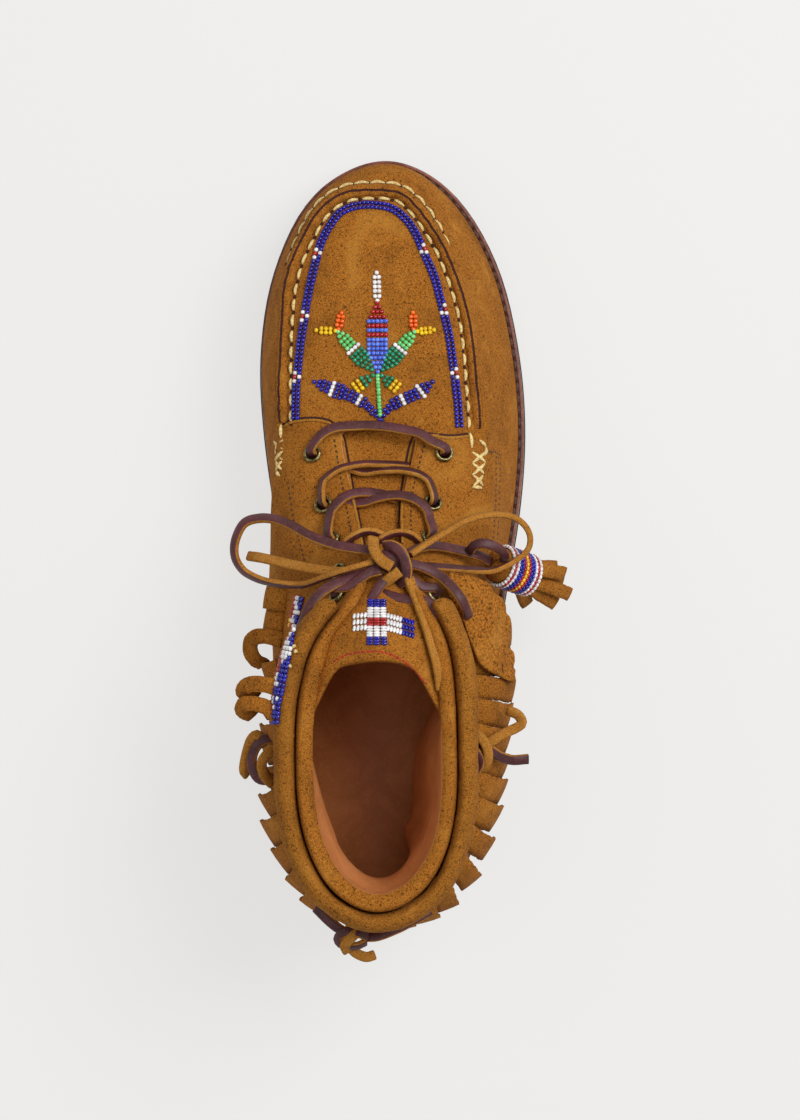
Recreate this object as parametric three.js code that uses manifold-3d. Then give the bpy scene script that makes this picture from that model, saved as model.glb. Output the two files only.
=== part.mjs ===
// Ankle-high moccasin boot, right foot, in millimetres.
// +Y points to the toe, +X to the outer side of the foot and +Z up.
// The origin is on the floor under the middle of the heel.
import * as THREE from "three";
import { mergeVertices } from "three/addons/utils/BufferGeometryUtils.js";
import Module from "manifold-3d";

const wasm = await Module();
wasm.setup();

// Driving sizes of the last
const SOLE_LENGTH = 299;
const BALL_WIDTH = 104;
const COLLAR_HEIGHT = 118;
const HEEL_CENTRE = 0.14; // share of the sole's length behind the origin

// Sole
const OUTSOLE = 5;
const MIDSOLE = 4;
const WELT = 3;
const INSOLE = 3;
const HEEL_LIFT = 12;
const HEEL_FRONT = 0.235; // share of the sole's length
const SHANK_FRONT = 0.56;
const SPRING_FROM = 0.76;
const TOE_SPRING = 9;
const EDGE_FLARE = 1;
const TREAD_BEVEL = 1.2;
const WELT_SHOW = 3;
const GAP = 0.3;

// Upper
const WALL = 2.2;
const SIDE_RISE = 14;
const RIDGE_HEIGHT = 2.2;
const RIDGE_HALF = 2.2;
const QUARTER_STEP = 1.2;
const PANEL_BEVEL = 1.3;

// Tongue
const TONGUE = 2.6;
const TONGUE_CLEARANCE = 0.8;

// Eyelets
const EYELET_IN = 11; // from the quarter's edge
const EYELET_BORE = 2.2;
const EYELET_SHANK = 2.5;
const EYELET_FLANGE = 3.6;
const EYELET_HOLE = 2.8; // in the leather
const EYELET_STANDS = 1.1;
const EYELET_SIDES = 8;
const EYELET_SEAT = 0.6; // above the quarter's face

// Collar roll and fringe
const ROLL_FROM = 7.4; // places, the roll's square front ends
const ROLL_TO = 16.6;
const ROLL_DEPTH = 7.3;
const ROLL_SEAT = 0.65;
const FRINGE = 1.6;
const FRINGE_STRIPS = 26;
const FRINGE_FROM = 8.25;
const FRINGE_TO = 16.3;
const FRINGE_TOP = 3.5; // levels of the upper's section
const FRINGE_BAND = 3.34;
const FRINGE_SLIT = 0.7;
const FRINGE_SEAT = 0.7;

// Lace
const LACE_WIDTH = 3.5;
const LACE = 2.2;
const LACE_CLEARANCE = 0.7;
const STEPS_PER_ROW = 3;
const TAUT = 40;
const SLACK = 4;
const STEEPEST = 1.4; // slope that a lace's face tilts to

// Each row is a place around the sole's edge, from the toe round the outer side, the heel and the
// inner side. across is a share of the ball width and along a share of the sole's length.
const SOLE_EDGE = [
  { at: "toe", across: 0.024, along: 1 },
  { at: "toe corner, outer", across: 0.26, along: 0.966 },
  { at: "forefoot, outer", across: 0.447, along: 0.869 },
  { at: "ball, outer", across: 0.537, along: 0.742 },
  { at: "vamp end, outer", across: 0.558, along: 0.635 },
  { at: "waist, outer", across: 0.537, along: 0.535 },
  { at: "instep, outer", across: 0.495, along: 0.448 },
  { at: "lacing top, outer", across: 0.464, along: 0.387 },
  { at: "collar front, outer", across: 0.436, along: 0.32 },
  { at: "ankle, outer", across: 0.412, along: 0.227 },
  { at: "heel side, outer", across: 0.39, along: 0.12 },
  { at: "heel corner, outer", across: 0.236, along: 0.028 },
  { at: "heel back", across: 0, along: 0 },
  { at: "heel corner, inner", across: -0.236, along: 0.028 },
  { at: "heel side, inner", across: -0.39, along: 0.12 },
  { at: "ankle, inner", across: -0.385, along: 0.227 },
  { at: "collar front, inner", across: -0.36, along: 0.32 },
  { at: "lacing top, inner", across: -0.351, along: 0.387 },
  { at: "instep, inner", across: -0.356, along: 0.448 },
  { at: "waist, inner", across: -0.389, along: 0.535 },
  { at: "vamp end, inner", across: -0.429, along: 0.635 },
  { at: "ball, inner", across: -0.444, along: 0.742 },
  { at: "forefoot, inner", across: -0.392, along: 0.856 },
  { at: "toe corner, inner", across: -0.236, along: 0.958 },
];

// Each row is the upper's section at the same place, from the welt up to the throat or collar edge.
// rand is a share of the welt that shows. bulge, seamIn, crown and topAcross are shares of the ball
// width, seamUp and topUp of the collar height, and topAlong of the sole's length.
const UPPER_SECTIONS = [
  { rand: 1, bulge: 0.005, seamIn: 0.13, seamUp: 0.364, crown: 0.03, topAcross: 0.007, topAlong: 0.64, topUp: 0.521 },
  { rand: 1, bulge: 0.005, seamIn: 0.149, seamUp: 0.377, crown: 0.03, topAcross: 0.062, topAlong: 0.6395, topUp: 0.521 },
  { rand: 1, bulge: 0.01, seamIn: 0.168, seamUp: 0.403, crown: 0.03, topAcross: 0.101, topAlong: 0.637, topUp: 0.523 },
  { rand: 1, bulge: 0.01, seamIn: 0.181, seamUp: 0.428, crown: 0.028, topAcross: 0.125, topAlong: 0.6385, topUp: 0.524 },
  { rand: 1, bulge: 0.012, seamIn: 0.163, seamUp: 0.441, crown: 0.035, topAcross: 0.144, topAlong: 0.632, topUp: 0.53 },
  { rand: 1, bulge: 0.015, seamIn: 0.101, seamUp: 0.424, crown: 0.07, topAcross: 0.098, topAlong: 0.557, topUp: 0.606 },
  { rand: 1, bulge: 0.015, seamIn: 0.082, seamUp: 0.424, crown: 0.075, topAcross: 0.09, topAlong: 0.49, topUp: 0.755 },
  { rand: 1, bulge: 0.015, seamIn: 0.077, seamUp: 0.424, crown: 0.07, topAcross: 0.122, topAlong: 0.437, topUp: 0.925 },
  { rand: 1, bulge: 0.012, seamIn: 0.072, seamUp: 0.424, crown: 0.05, topAcross: 0.23, topAlong: 0.374, topUp: 0.992 },
  { rand: 1, bulge: 0.01, seamIn: 0.058, seamUp: 0.424, crown: 0.02, topAcross: 0.269, topAlong: 0.26, topUp: 1 },
  { rand: 1, bulge: 0.012, seamIn: 0.048, seamUp: 0.424, crown: 0, topAcross: 0.25, topAlong: 0.133, topUp: 1 },
  { rand: 1, bulge: 0.015, seamIn: 0.043, seamUp: 0.424, crown: -0.01, topAcross: 0.149, topAlong: 0.066, topUp: 1.008 },
  { rand: 1, bulge: 0.02, seamIn: 0.038, seamUp: 0.424, crown: -0.015, topAcross: 0, topAlong: 0.044, topUp: 1.017 },
  { rand: 1, bulge: 0.015, seamIn: 0.043, seamUp: 0.424, crown: -0.01, topAcross: -0.144, topAlong: 0.068, topUp: 1.008 },
  { rand: 1, bulge: 0.012, seamIn: 0.04, seamUp: 0.424, crown: 0, topAcross: -0.24, topAlong: 0.133, topUp: 1 },
  { rand: 0.8, bulge: 0.015, seamIn: 0.02, seamUp: 0.424, crown: 0.02, topAcross: -0.267, topAlong: 0.26, topUp: 1 },
  { rand: 0.7, bulge: 0.025, seamIn: -0.014, seamUp: 0.424, crown: 0.05, topAcross: -0.207, topAlong: 0.367, topUp: 0.992 },
  { rand: 0.6, bulge: 0.03, seamIn: -0.03, seamUp: 0.424, crown: 0.07, topAcross: -0.055, topAlong: 0.436, topUp: 0.925 },
  { rand: 0.6, bulge: 0.03, seamIn: -0.034, seamUp: 0.424, crown: 0.075, topAcross: -0.055, topAlong: 0.49, topUp: 0.755 },
  { rand: 0.6, bulge: 0.02, seamIn: 0.005, seamUp: 0.424, crown: 0.07, topAcross: -0.09, topAlong: 0.557, topUp: 0.606 },
  { rand: 0.6, bulge: 0.012, seamIn: 0.075, seamUp: 0.441, crown: 0.035, topAcross: -0.129, topAlong: 0.632, topUp: 0.53 },
  { rand: 0.6, bulge: 0.01, seamIn: 0.0875, seamUp: 0.428, crown: 0.028, topAcross: -0.111, topAlong: 0.6385, topUp: 0.524 },
  { rand: 0.7, bulge: 0.01, seamIn: 0.072, seamUp: 0.403, crown: 0.03, topAcross: -0.087, topAlong: 0.637, topUp: 0.523 },
  { rand: 0.9, bulge: 0.005, seamIn: 0.0865, seamUp: 0.377, crown: 0.03, topAcross: -0.048, topAlong: 0.6395, topUp: 0.521 },
];
const ROWS = SOLE_EDGE.length;
const COLUMNS_PER_ROW = 3;
const QUARTER_FROM = 4; // row where the outer quarter's front edge crosses
const QUARTER_TO = 20; // and the inner quarter's

// Each row is a section of the tongue, from under the vamp up to its arched top edge. outer and
// inner are places on the table above, from and to how far up those sections its sides reach, and
// midAlong, midUp the middle of the section, as shares of the sole's length and the collar height.
const TONGUE_SECTIONS = [
  { outer: 2, inner: 22, from: 3.72, to: 3.78, midAlong: 0.667, midUp: 0.478 },
  { outer: 3, inner: 21, from: 3.7, to: 3.9, midAlong: 0.645, midUp: 0.49 },
  { outer: 4, inner: 20, from: 3.55, to: 3.95, midAlong: 0.618, midUp: 0.504 },
  { outer: 5, inner: 19, from: 3.45, to: 3.97, midAlong: 0.557, midUp: 0.582 },
  { outer: 6, inner: 18, from: 3.45, to: 3.97, midAlong: 0.496, midUp: 0.73 },
  { outer: 7, inner: 17, from: 3.45, to: 3.95, midAlong: 0.44, midUp: 0.89 },
  { outer: 8, inner: 16, from: 3.5, to: 3.88, midAlong: 0.385, midUp: 0.995 },
  { outer: 8.6, inner: 15.4, from: 3.6, to: 3.92, midAlong: 0.345, midUp: 1.035 },
];

// Each row is a place where the lace's eyelets sit on the outer quarter; the inner quarter's mirror it.
const EYELET_PLACES = [4.36, 5.12, 5.75, 6.45, 7.0];

// Each row is how the fringe hangs at a place: off, how far its tips stand off the wall as a share of
// the ball width, and tip, the level they reach down to.
const FRINGE_HANG = [
  { place: 8.2, off: 0.12, tip: 2.2 },
  { place: 9.5, off: 0.1, tip: 2.15 },
  { place: 10.6, off: 0.08, tip: 2.15 },
  { place: 11.4, off: 0.045, tip: 2.2 },
  { place: 12, off: 0.02, tip: 2.3 },
  { place: 12.8, off: 0.04, tip: 2.25 },
  { place: 14, off: 0.07, tip: 2.2 },
  { place: 15.2, off: 0.08, tip: 2.25 },
  { place: 16.3, off: 0.07, tip: 2.3 },
];

// Each row is a line down the free flap at the front of the outer collar, from its root to its tip.
const FLAP_LINES = [
  { root: 7.15, tip: 7.3, reach: 2.2 },
  { root: 7.4, tip: 7.65, reach: 2.1 },
  { root: 7.65, tip: 7.95, reach: 2.08 },
  { root: 7.85, tip: 8.15, reach: 2.1 },
];

// Each row is a point of a lace's path seen from above, laid on whatever is under it. across is a
// share of the ball width, along of the sole's length, and over counts laces already below it.
const LACE_BARS = {
  lace_bar_1: [
    [
      { across: -0.236, along: 0.615, over: -0.3 },
      { across: -0.185, along: 0.637, over: 0 },
      { across: -0.09, along: 0.643, over: 0 },
      { across: 0, along: 0.643, over: 0 },
      { across: 0.1, along: 0.638, over: 0 },
      { across: 0.18, along: 0.63, over: 0 },
      { across: 0.231, along: 0.609, over: -0.3 },
    ],
  ],
  lace_cross_2: [
    [
      { across: -0.21, along: 0.562, over: 0 },
      { across: -0.19, along: 0.575, over: 0 },
      { across: -0.138, along: 0.588, over: 0 },
      { across: -0.07, along: 0.594, over: 0.4 },
      { across: 0, along: 0.595, over: 0.75 },
      { across: 0.075, along: 0.594, over: 0.4 },
    ],
    [
      { across: 0.2, along: 0.562, over: 0 },
      { across: 0.19, along: 0.573, over: 0 },
      { across: 0.145, along: 0.583, over: 0 },
      { across: 0.05, along: 0.587, over: 0 },
      { across: -0.055, along: 0.582, over: 0 },
    ],
  ],
  lace_cross_3: [
    [
      { across: -0.165, along: 0.518, over: 0 },
      { across: -0.17, along: 0.53, over: 0 },
      { across: -0.14, along: 0.545, over: 0 },
      { across: -0.085, along: 0.557, over: 0 },
      { across: 0.01, along: 0.556, over: 0 },
      { across: 0.075, along: 0.549, over: 0 },
    ],
    [
      { across: 0.185, along: 0.518, over: 0 },
      { across: 0.19, along: 0.53, over: 0 },
      { across: 0.16, along: 0.544, over: 0 },
      { across: 0.095, along: 0.554, over: 0.4 },
      { across: 0.005, along: 0.551, over: 0.75 },
      { across: -0.05, along: 0.542, over: 0.3 },
    ],
  ],
  lace_cross_4: [
    [
      { across: -0.1125, along: 0.4948, over: 0 },
      { across: -0.06, along: 0.506, over: 0 },
      { across: -0.015, along: 0.508, over: 0 },
      { across: 0.025, along: 0.503, over: 0 },
    ],
    [
      { across: 0.156, along: 0.4948, over: 0 },
      { across: 0.125, along: 0.504, over: 0 },
      { across: 0.085, along: 0.5065, over: 0 },
      { across: 0.045, along: 0.504, over: 0 },
      { across: 0.012, along: 0.497, over: 0 },
    ],
  ],
};

// Each row is a point of a free lace, no lower than up, a share of the collar height, and laid over
// whatever is under it. A lace lies over those before it in the table.
const FREE_LACES = {
  lace_end_left: [
    { across: -0.035, along: 0.46, up: 0.84 },
    { across: -0.095, along: 0.4574, up: 0.82 },
    { across: -0.184, along: 0.4587, up: 0.79 },
    { across: -0.319, along: 0.4674, up: 0.7 },
    { across: -0.419, along: 0.4751, up: 0.63 },
    { across: -0.467, along: 0.4775, up: 0.6 },
  ],
  lace_lead_right: [
    { across: 0.114, along: 0.48, up: 0.85 },
    { across: 0.17, along: 0.4888, up: 0.76 },
    { across: 0.233, along: 0.4888, up: 0.71 },
    { across: 0.309, along: 0.4838, up: 0.67 },
    { across: 0.372, along: 0.4775, up: 0.66 },
    { across: 0.413, along: 0.4706, up: 0.625 },
  ],
  bow_loop_left: [
    { across: -0.008, along: 0.483, up: 0.86 },
    { across: -0.19, along: 0.495, up: 0.81 },
    { across: -0.31, along: 0.516, up: 0.74 },
    { across: -0.4, along: 0.525, up: 0.68 },
    { across: -0.482, along: 0.519, up: 0.63 },
    { across: -0.519, along: 0.49, up: 0.61 },
    { across: -0.505, along: 0.467, up: 0.61 },
    { across: -0.442, along: 0.45, up: 0.63 },
    { across: -0.275, along: 0.441, up: 0.74 },
    { across: -0.148, along: 0.456, up: 0.83, over: 0.4 },
    { across: -0.012, along: 0.4705, up: 0.875, over: 0.4 },
  ],
  bow_loop_right: [
    { across: 0.118, along: 0.4785, up: 0.86 },
    { across: 0.195, along: 0.496, up: 0.83 },
    { across: 0.312, along: 0.52, up: 0.77 },
    { across: 0.403, along: 0.529, up: 0.72 },
    { across: 0.499, along: 0.526, up: 0.68 },
    { across: 0.554, along: 0.507, up: 0.65 },
    { across: 0.546, along: 0.484, up: 0.65 },
    { across: 0.472, along: 0.466, up: 0.69 },
    { across: 0.403, along: 0.459, up: 0.74 },
    { across: 0.286, along: 0.462, up: 0.8 },
    { across: 0.118, along: 0.4655, up: 0.87 },
  ],
};
const KNOT = { across: 0.055, along: 0.472, up: 0.877, width: 0.11, length: 0.034, height: 0.055 };

// The tassel's barrel from its near rim to its far one, and the tips of its tails.
const TASSEL = {
  near: { across: 0.43, along: 0.4688, up: 0.61 },
  far: { across: 0.568, along: 0.453, up: 0.515 },
};
const TASSEL_RADIUS = 8.4;
const TASSEL_SIDES = 12;
const TAIL_WIDTH = 5.2;
const TAIL = 1.8;
const TAIL_TIPS = [
  { across: 0.663, along: 0.463, up: 0.37 },
  { across: 0.688, along: 0.446, up: 0.35 },
  { across: 0.716, along: 0.428, up: 0.32 },
  { across: 0.663, along: 0.416, up: 0.32 },
  { across: 0.558, along: 0.416, up: 0.36 },
];

// Colours
const SUEDE = new THREE.MeshStandardMaterial({ color: 0xa06a28, roughness: 0.95, metalness: 0 });
const RUBBER = new THREE.MeshStandardMaterial({ color: 0x2e241f, roughness: 0.85, metalness: 0 });
const CREPE = new THREE.MeshStandardMaterial({ color: 0xd8cdb8, roughness: 0.8, metalness: 0 });
const WELT_LEATHER = new THREE.MeshStandardMaterial({ color: 0x8a5248, roughness: 0.6, metalness: 0 });
const INSOLE_LEATHER = new THREE.MeshStandardMaterial({ color: 0x6b3a18, roughness: 0.55, metalness: 0 });

const BRASS = new THREE.MeshStandardMaterial({ color: 0x7d7350, roughness: 0.4, metalness: 1 });
const LACE_LEATHER = new THREE.MeshStandardMaterial({ color: 0x5e3038, roughness: 0.6, metalness: 0 });

const alongToY = (along) => (along - HEEL_CENTRE) * SOLE_LENGTH;
const smoothStep = (t) => {
  const s = Math.min(1, Math.max(0, t));
  return s * s * (3 - 2 * s);
};

// How far the underside of the outsole stands off the floor: heel, waist, ball and toe spring.
function soleRise(y) {
  const shankFront = alongToY(SHANK_FRONT);
  const heelFront = alongToY(HEEL_FRONT);
  const springFrom = alongToY(SPRING_FROM);
  const heel = smoothStep((shankFront - y) / (shankFront - heelFront));
  const toe = Math.max(0, (y - springFrom) / (alongToY(1) - springFrom));
  return HEEL_LIFT * heel + TOE_SPRING * toe * toe;
}

const soleCurve = new THREE.CatmullRomCurve3(
  SOLE_EDGE.map(({ across, along }) => new THREE.Vector3(across * BALL_WIDTH, alongToY(along), 0)),
  true,
  "centripetal",
);

// A point of the sole's edge in plan, moved inwards by inset. place counts rows of the tables.
function edgePoint(place, inset = 0) {
  const t = (((place % ROWS) + ROWS) % ROWS) / ROWS;
  const tangent = soleCurve.getTangent(t);
  const outward = new THREE.Vector3(-tangent.y, tangent.x, 0);
  return soleCurve.getPoint(t).addScaledVector(outward, -inset);
}

const STACK_OUTSOLE = 0;
const STACK_MIDSOLE = OUTSOLE + GAP;
const STACK_TOP = STACK_MIDSOLE + MIDSOLE + GAP;

// A closed surface over rings of points. Each ring runs once round the piece. Unless the rings
// close on themselves, the first and last are capped by strips between their two halves.
function skin(rings, closed = false) {
  const around = rings[0].length;
  const positions = rings.flat().flatMap((p) => [p.x, p.y, p.z]);
  const index = [];
  const quad = (a, b, c, d) => index.push(a, b, c, a, c, d);
  const last = closed ? rings.length : rings.length - 1;
  for (let i = 0; i < last; i += 1) {
    const here = i * around;
    const next = ((i + 1) % rings.length) * around;
    for (let j = 0; j < around; j += 1) {
      const k = (j + 1) % around;
      quad(here + j, here + k, next + k, next + j);
    }
  }
  if (!closed) {
    const end = (rings.length - 1) * around;
    for (let j = 0; j + 1 < around / 2; j += 1) {
      quad(around - 1 - j, around - 2 - j, j + 1, j);
      quad(end + j, end + j + 1, end + around - 2 - j, end + around - 1 - j);
    }
  }
  const geometry = new THREE.BufferGeometry();
  geometry.setAttribute("position", new THREE.Float32BufferAttribute(positions, 3));
  geometry.setIndex(index);
  return geometry;
}

// The same surface as a solid that can be cut and joined, with its faces outwards.
function solidOf(geometry) {
  const plain = geometry.clone();
  plain.deleteAttribute("normal");
  plain.deleteAttribute("uv");
  const welded = mergeVertices(plain, 1e-4);
  const build = (triVerts) =>
    new wasm.Manifold(
      new wasm.Mesh({ numProp: 3, vertProperties: welded.attributes.position.array, triVerts }),
    );
  const triVerts = new Uint32Array(welded.index.array);
  const solid = build(triVerts);
  return solid.volume() > 0 ? solid : build(triVerts.map((_, i, all) => all[i - (i % 3) + 2 - (i % 3)]));
}

function geometryOf(solid) {
  const { vertProperties, triVerts } = solid.getMesh();
  const geometry = new THREE.BufferGeometry();
  geometry.setAttribute("position", new THREE.BufferAttribute(vertProperties, 3));
  geometry.setIndex(new THREE.BufferAttribute(triVerts, 1));
  return geometry;
}

function piece(name, solid, material) {
  const geometry = geometryOf(solid);
  geometry.computeVertexNormals();
  const mesh = new THREE.Mesh(geometry, material);
  mesh.name = name;
  return mesh;
}

// The plan outline as a ring, moved inwards by inset and laid on the stack at the given height.
function outlineRing(inset, height, lift = soleRise) {
  const columns = ROWS * COLUMNS_PER_ROW;
  return Array.from({ length: columns }, (_, i) => {
    const p = edgePoint((i + 0.5) / COLUMNS_PER_ROW, inset);
    p.z = lift(p.y) + height;
    return p;
  });
}

// Outsole: full length, its lower edge bevelled and its side flared a little behind the ball.
function makeOutsole() {
  return solidOf(
    skin([
      outlineRing(TREAD_BEVEL - EDGE_FLARE / 2, STACK_OUTSOLE),
      outlineRing(-EDGE_FLARE, STACK_OUTSOLE + TREAD_BEVEL),
      outlineRing(-EDGE_FLARE / 2, OUTSOLE),
    ]),
  );
}

// Heel lift: the rear of the outline down to the floor, with a straight breast.
function makeHeel() {
  const flat = () => 0;
  const top = HEEL_LIFT - GAP;
  const slab = solidOf(
    skin([
      outlineRing(TREAD_BEVEL, 0, flat),
      outlineRing(0, TREAD_BEVEL, flat),
      outlineRing(-EDGE_FLARE / 2, top, flat),
    ]),
  );
  const breast = alongToY(HEEL_FRONT);
  const keep = new THREE.BoxGeometry(2 * BALL_WIDTH, SOLE_LENGTH, 4 * HEEL_LIFT);
  keep.translate(0, breast - SOLE_LENGTH / 2, 0);
  return slab.intersect(solidOf(keep));
}

function makeMidsole() {
  return solidOf(
    skin([
      outlineRing(-EDGE_FLARE / 2, STACK_MIDSOLE),
      outlineRing(0, STACK_MIDSOLE + MIDSOLE),
    ]),
  );
}

const sectionValue = (column, place) => {
  const at = ((place % ROWS) + ROWS) % ROWS;
  const low = Math.floor(at);
  const a = UPPER_SECTIONS[low % ROWS][column];
  const b = UPPER_SECTIONS[(low + 1) % ROWS][column];
  return a + (b - a) * (at - low);
};
const randInset = (place) => sectionValue("rand", place) * WELT_SHOW;

const topCurve = new THREE.CatmullRomCurve3(
  UPPER_SECTIONS.map(
    ({ topAcross, topAlong, topUp }) =>
      new THREE.Vector3(topAcross * BALL_WIDTH, alongToY(topAlong), topUp * COLLAR_HEIGHT),
  ),
  true,
  "centripetal",
);

// The curve of the upper's section at a place, from the welt (0) over the widest part of the side
// (1), the raised seam (2) and the middle of the panel above it (3) to the top edge (4).
function sectionCurve(place) {
  const foot = edgePoint(place, randInset(place));
  foot.z = soleRise(foot.y) + STACK_TOP + GAP;
  const side = edgePoint(place, randInset(place) - sectionValue("bulge", place) * BALL_WIDTH);
  side.z = foot.z + SIDE_RISE;
  const seam = edgePoint(place, sectionValue("seamIn", place) * BALL_WIDTH);
  seam.z = sectionValue("seamUp", place) * COLLAR_HEIGHT;
  const top = topCurve.getPoint((((place % ROWS) + ROWS) % ROWS) / ROWS);
  const chord = top.clone().sub(seam);
  const run = Math.hypot(chord.x, chord.y);
  const outward = new THREE.Vector3(-chord.x * chord.z, -chord.y * chord.z, run * run).normalize();
  const brow = seam.clone().addScaledVector(chord, 0.5);
  brow.addScaledVector(outward, sectionValue("crown", place) * BALL_WIDTH);
  return new THREE.CatmullRomCurve3([foot, side, seam, brow, top], false, "centripetal");
}

const LEVELS = 4;
const STEP = 0.01;

// A point of the upper's plain outer surface, moved along the surface's normal by out.
function upperPoint(place, level, out = 0) {
  const at = (p, l) => sectionCurve(p).getPoint(Math.min(LEVELS, Math.max(0, l)) / LEVELS);
  const p = at(place, level);
  if (out === 0) return p;
  return p.addScaledVector(upperNormal(place, level), out);
}

function upperNormal(place, level) {
  const at = (p, l) => sectionCurve(p).getPoint(Math.min(LEVELS, Math.max(0, l)) / LEVELS);
  const along = at(place + STEP, level).sub(at(place - STEP, level));
  const up = at(place, Math.min(LEVELS, level + STEP)).sub(at(place, Math.max(0, level - STEP)));
  return up.cross(along).normalize();
}

// Raised parts of the wall: the moccasin seam round the apron and the quarters laid over the vamp.
function relief(place, level) {
  const onQuarter = place >= QUARTER_FROM && place <= QUARTER_TO;
  if (onQuarter) return level >= 2 ? QUARTER_STEP : 0;
  return level === 2 ? RIDGE_HEIGHT : 0;
}

// Heights at which a section of the wall has a row of points, the seam's set by its real width.
function wallLevels(place) {
  const curve = sectionCurve(place);
  const [, side, seam, brow] = curve.points;
  const below = PANEL_BEVEL / side.distanceTo(seam);
  const above = RIDGE_HALF / seam.distanceTo(brow);
  return [0, 0.4, 0.75, 1, 1.5, 2 - below, 2, 2 + above, 2.4, 2.75, 3.1, 3.5, 4];
}

const LINING_LEVELS = [0, 0.75, 1.5, 2, 2.4, 2.75, 3.1, 3.5, 4];

function wallPlaces() {
  const even = Array.from({ length: ROWS * COLUMNS_PER_ROW }, (_, i) => i / COLUMNS_PER_ROW);
  const bevel = PANEL_BEVEL / edgePoint(QUARTER_FROM).distanceTo(edgePoint(QUARTER_FROM - 1));
  return [...even, QUARTER_FROM - bevel, QUARTER_TO + bevel].sort((a, b) => a - b);
}

// The upper: one wall open at the throat, the collar and underneath.
function makeUpper() {
  const rings = wallPlaces().map((place) => {
    const levels = wallLevels(place);
    const outer = levels.map((level) => upperPoint(place, level, relief(place, level)));
    const inner = LINING_LEVELS.map((level) => upperPoint(place, level, -WALL));
    return [...outer, ...inner.reverse()];
  });
  const wall = solidOf(skin(rings, true));
  return eyelets.reduce((solid, eyelet) => {
    const drill = new THREE.CylinderGeometry(EYELET_HOLE, EYELET_HOLE, 6 * WALL, EYELET_SIDES);
    drill.rotateX(Math.PI / 2);
    return solid.subtract(solidOf(drill.applyMatrix4(eyeletSeat(eyelet.place))));
  }, wall);
}

// Welt: a strip round the foot of the upper, from the wall out to the sole's edge.
function makeWelt() {
  const rings = Array.from({ length: ROWS * COLUMNS_PER_ROW }, (_, i) => {
    const place = i / COLUMNS_PER_ROW;
    const onStack = (p, height) => {
      p.z = soleRise(p.y) + height;
      return p;
    };
    return [
      onStack(edgePoint(place), STACK_TOP),
      onStack(edgePoint(place), STACK_TOP + WELT),
      onStack(upperPoint(place, WELT / SIDE_RISE, 2 * GAP), STACK_TOP + WELT),
      onStack(upperPoint(place, 0, GAP), STACK_TOP),
    ];
  });
  return solidOf(skin(rings, true));
}

function makeInsole() {
  const inset = WELT_SHOW + WALL + 2 * GAP;
  return solidOf(skin([outlineRing(inset, STACK_TOP), outlineRing(inset + 0.4, STACK_TOP + INSOLE)]));
}

// A row of a table at a fractional position, each number mixed from its two neighbours.
function mixedRow(table, at) {
  const low = Math.min(table.length - 2, Math.floor(at));
  const [a, b] = [table[low], table[low + 1]];
  const mix = ([column, value]) => [column, value + (b[column] - value) * (at - low)];
  return Object.fromEntries(Object.entries(a).map(mix));
}

// The tongue follows the inside of the upper at its sides and bridges the throat between them.
function makeTongue() {
  const sections = Array.from({ length: 2 * TONGUE_SECTIONS.length - 1 }, (_, i) =>
    mixedRow(TONGUE_SECTIONS, i / 2),
  );
  const grid = sections.map(({ outer, inner, from, to, midAlong, midUp }) => {
    const out = -(WALL + TONGUE_CLEARANCE);
    const side = (place) => [0, 0.5, 1].map((t) => upperPoint(place, from + (to - from) * t, out));
    const left = side(inner);
    const right = side(outer).reverse();
    const across = (left[2].x + right[0].x) / 2;
    const middle = new THREE.Vector3(across, alongToY(midAlong), midUp * COLLAR_HEIGHT);
    const bridge = new THREE.CatmullRomCurve3([left[2], middle, right[0]], false, "centripetal");
    const between = [0.2, 0.4, 0.6, 0.8].map((t) => bridge.getPoint(t));
    return [...left, ...between, ...right];
  });
  return solidOf(plate(grid, TONGUE));
}

// A plate that lies under a grid of points, thickness deep along the grid's own normals.
function plate(grid, thickness) {
  const at = (i, j) => grid[Math.min(grid.length - 1, Math.max(0, i))][Math.min(grid[0].length - 1, Math.max(0, j))];
  const rings = grid.map((row, i) => {
    const under = row.map((p, j) => {
      const along = at(i + 1, j).clone().sub(at(i - 1, j));
      const over = at(i, j + 1).clone().sub(at(i, j - 1));
      return p.clone().addScaledVector(over.cross(along).normalize(), thickness);
    });
    return [...row, ...under.reverse()];
  });
  return skin(rings);
}

const eyelets = EYELET_PLACES.flatMap((place, i) => [
  { name: `eyelet_outer_${i + 1}`, place },
  { name: `eyelet_inner_${i + 1}`, place: ROWS - place },
]);

// The frame of an eyelet on the quarter's face, its own Z along the face's normal.
function eyeletSeat(place) {
  const [, , , brow, top] = sectionCurve(place).points;
  const level = LEVELS - EYELET_IN / brow.distanceTo(top);
  const turn = new THREE.Quaternion().setFromUnitVectors(
    new THREE.Vector3(0, 0, 1),
    upperNormal(place, level),
  );
  const seat = upperPoint(place, level, QUARTER_STEP + EYELET_SEAT);
  return new THREE.Matrix4().compose(seat, turn, new THREE.Vector3(1, 1, 1));
}

function makeEyelet(place) {
  const profile = [
    [EYELET_BORE, -WALL],
    [EYELET_SHANK, -WALL],
    [EYELET_SHANK, GAP],
    [EYELET_FLANGE, GAP],
    [EYELET_SHANK, EYELET_STANDS],
    [EYELET_BORE, -WALL],
  ].map(([r, z]) => new THREE.Vector2(r, z));
  const turned = new THREE.LatheGeometry(profile, EYELET_SIDES);
  turned.rotateX(Math.PI / 2);
  return solidOf(turned.applyMatrix4(eyeletSeat(place)));
}

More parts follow.
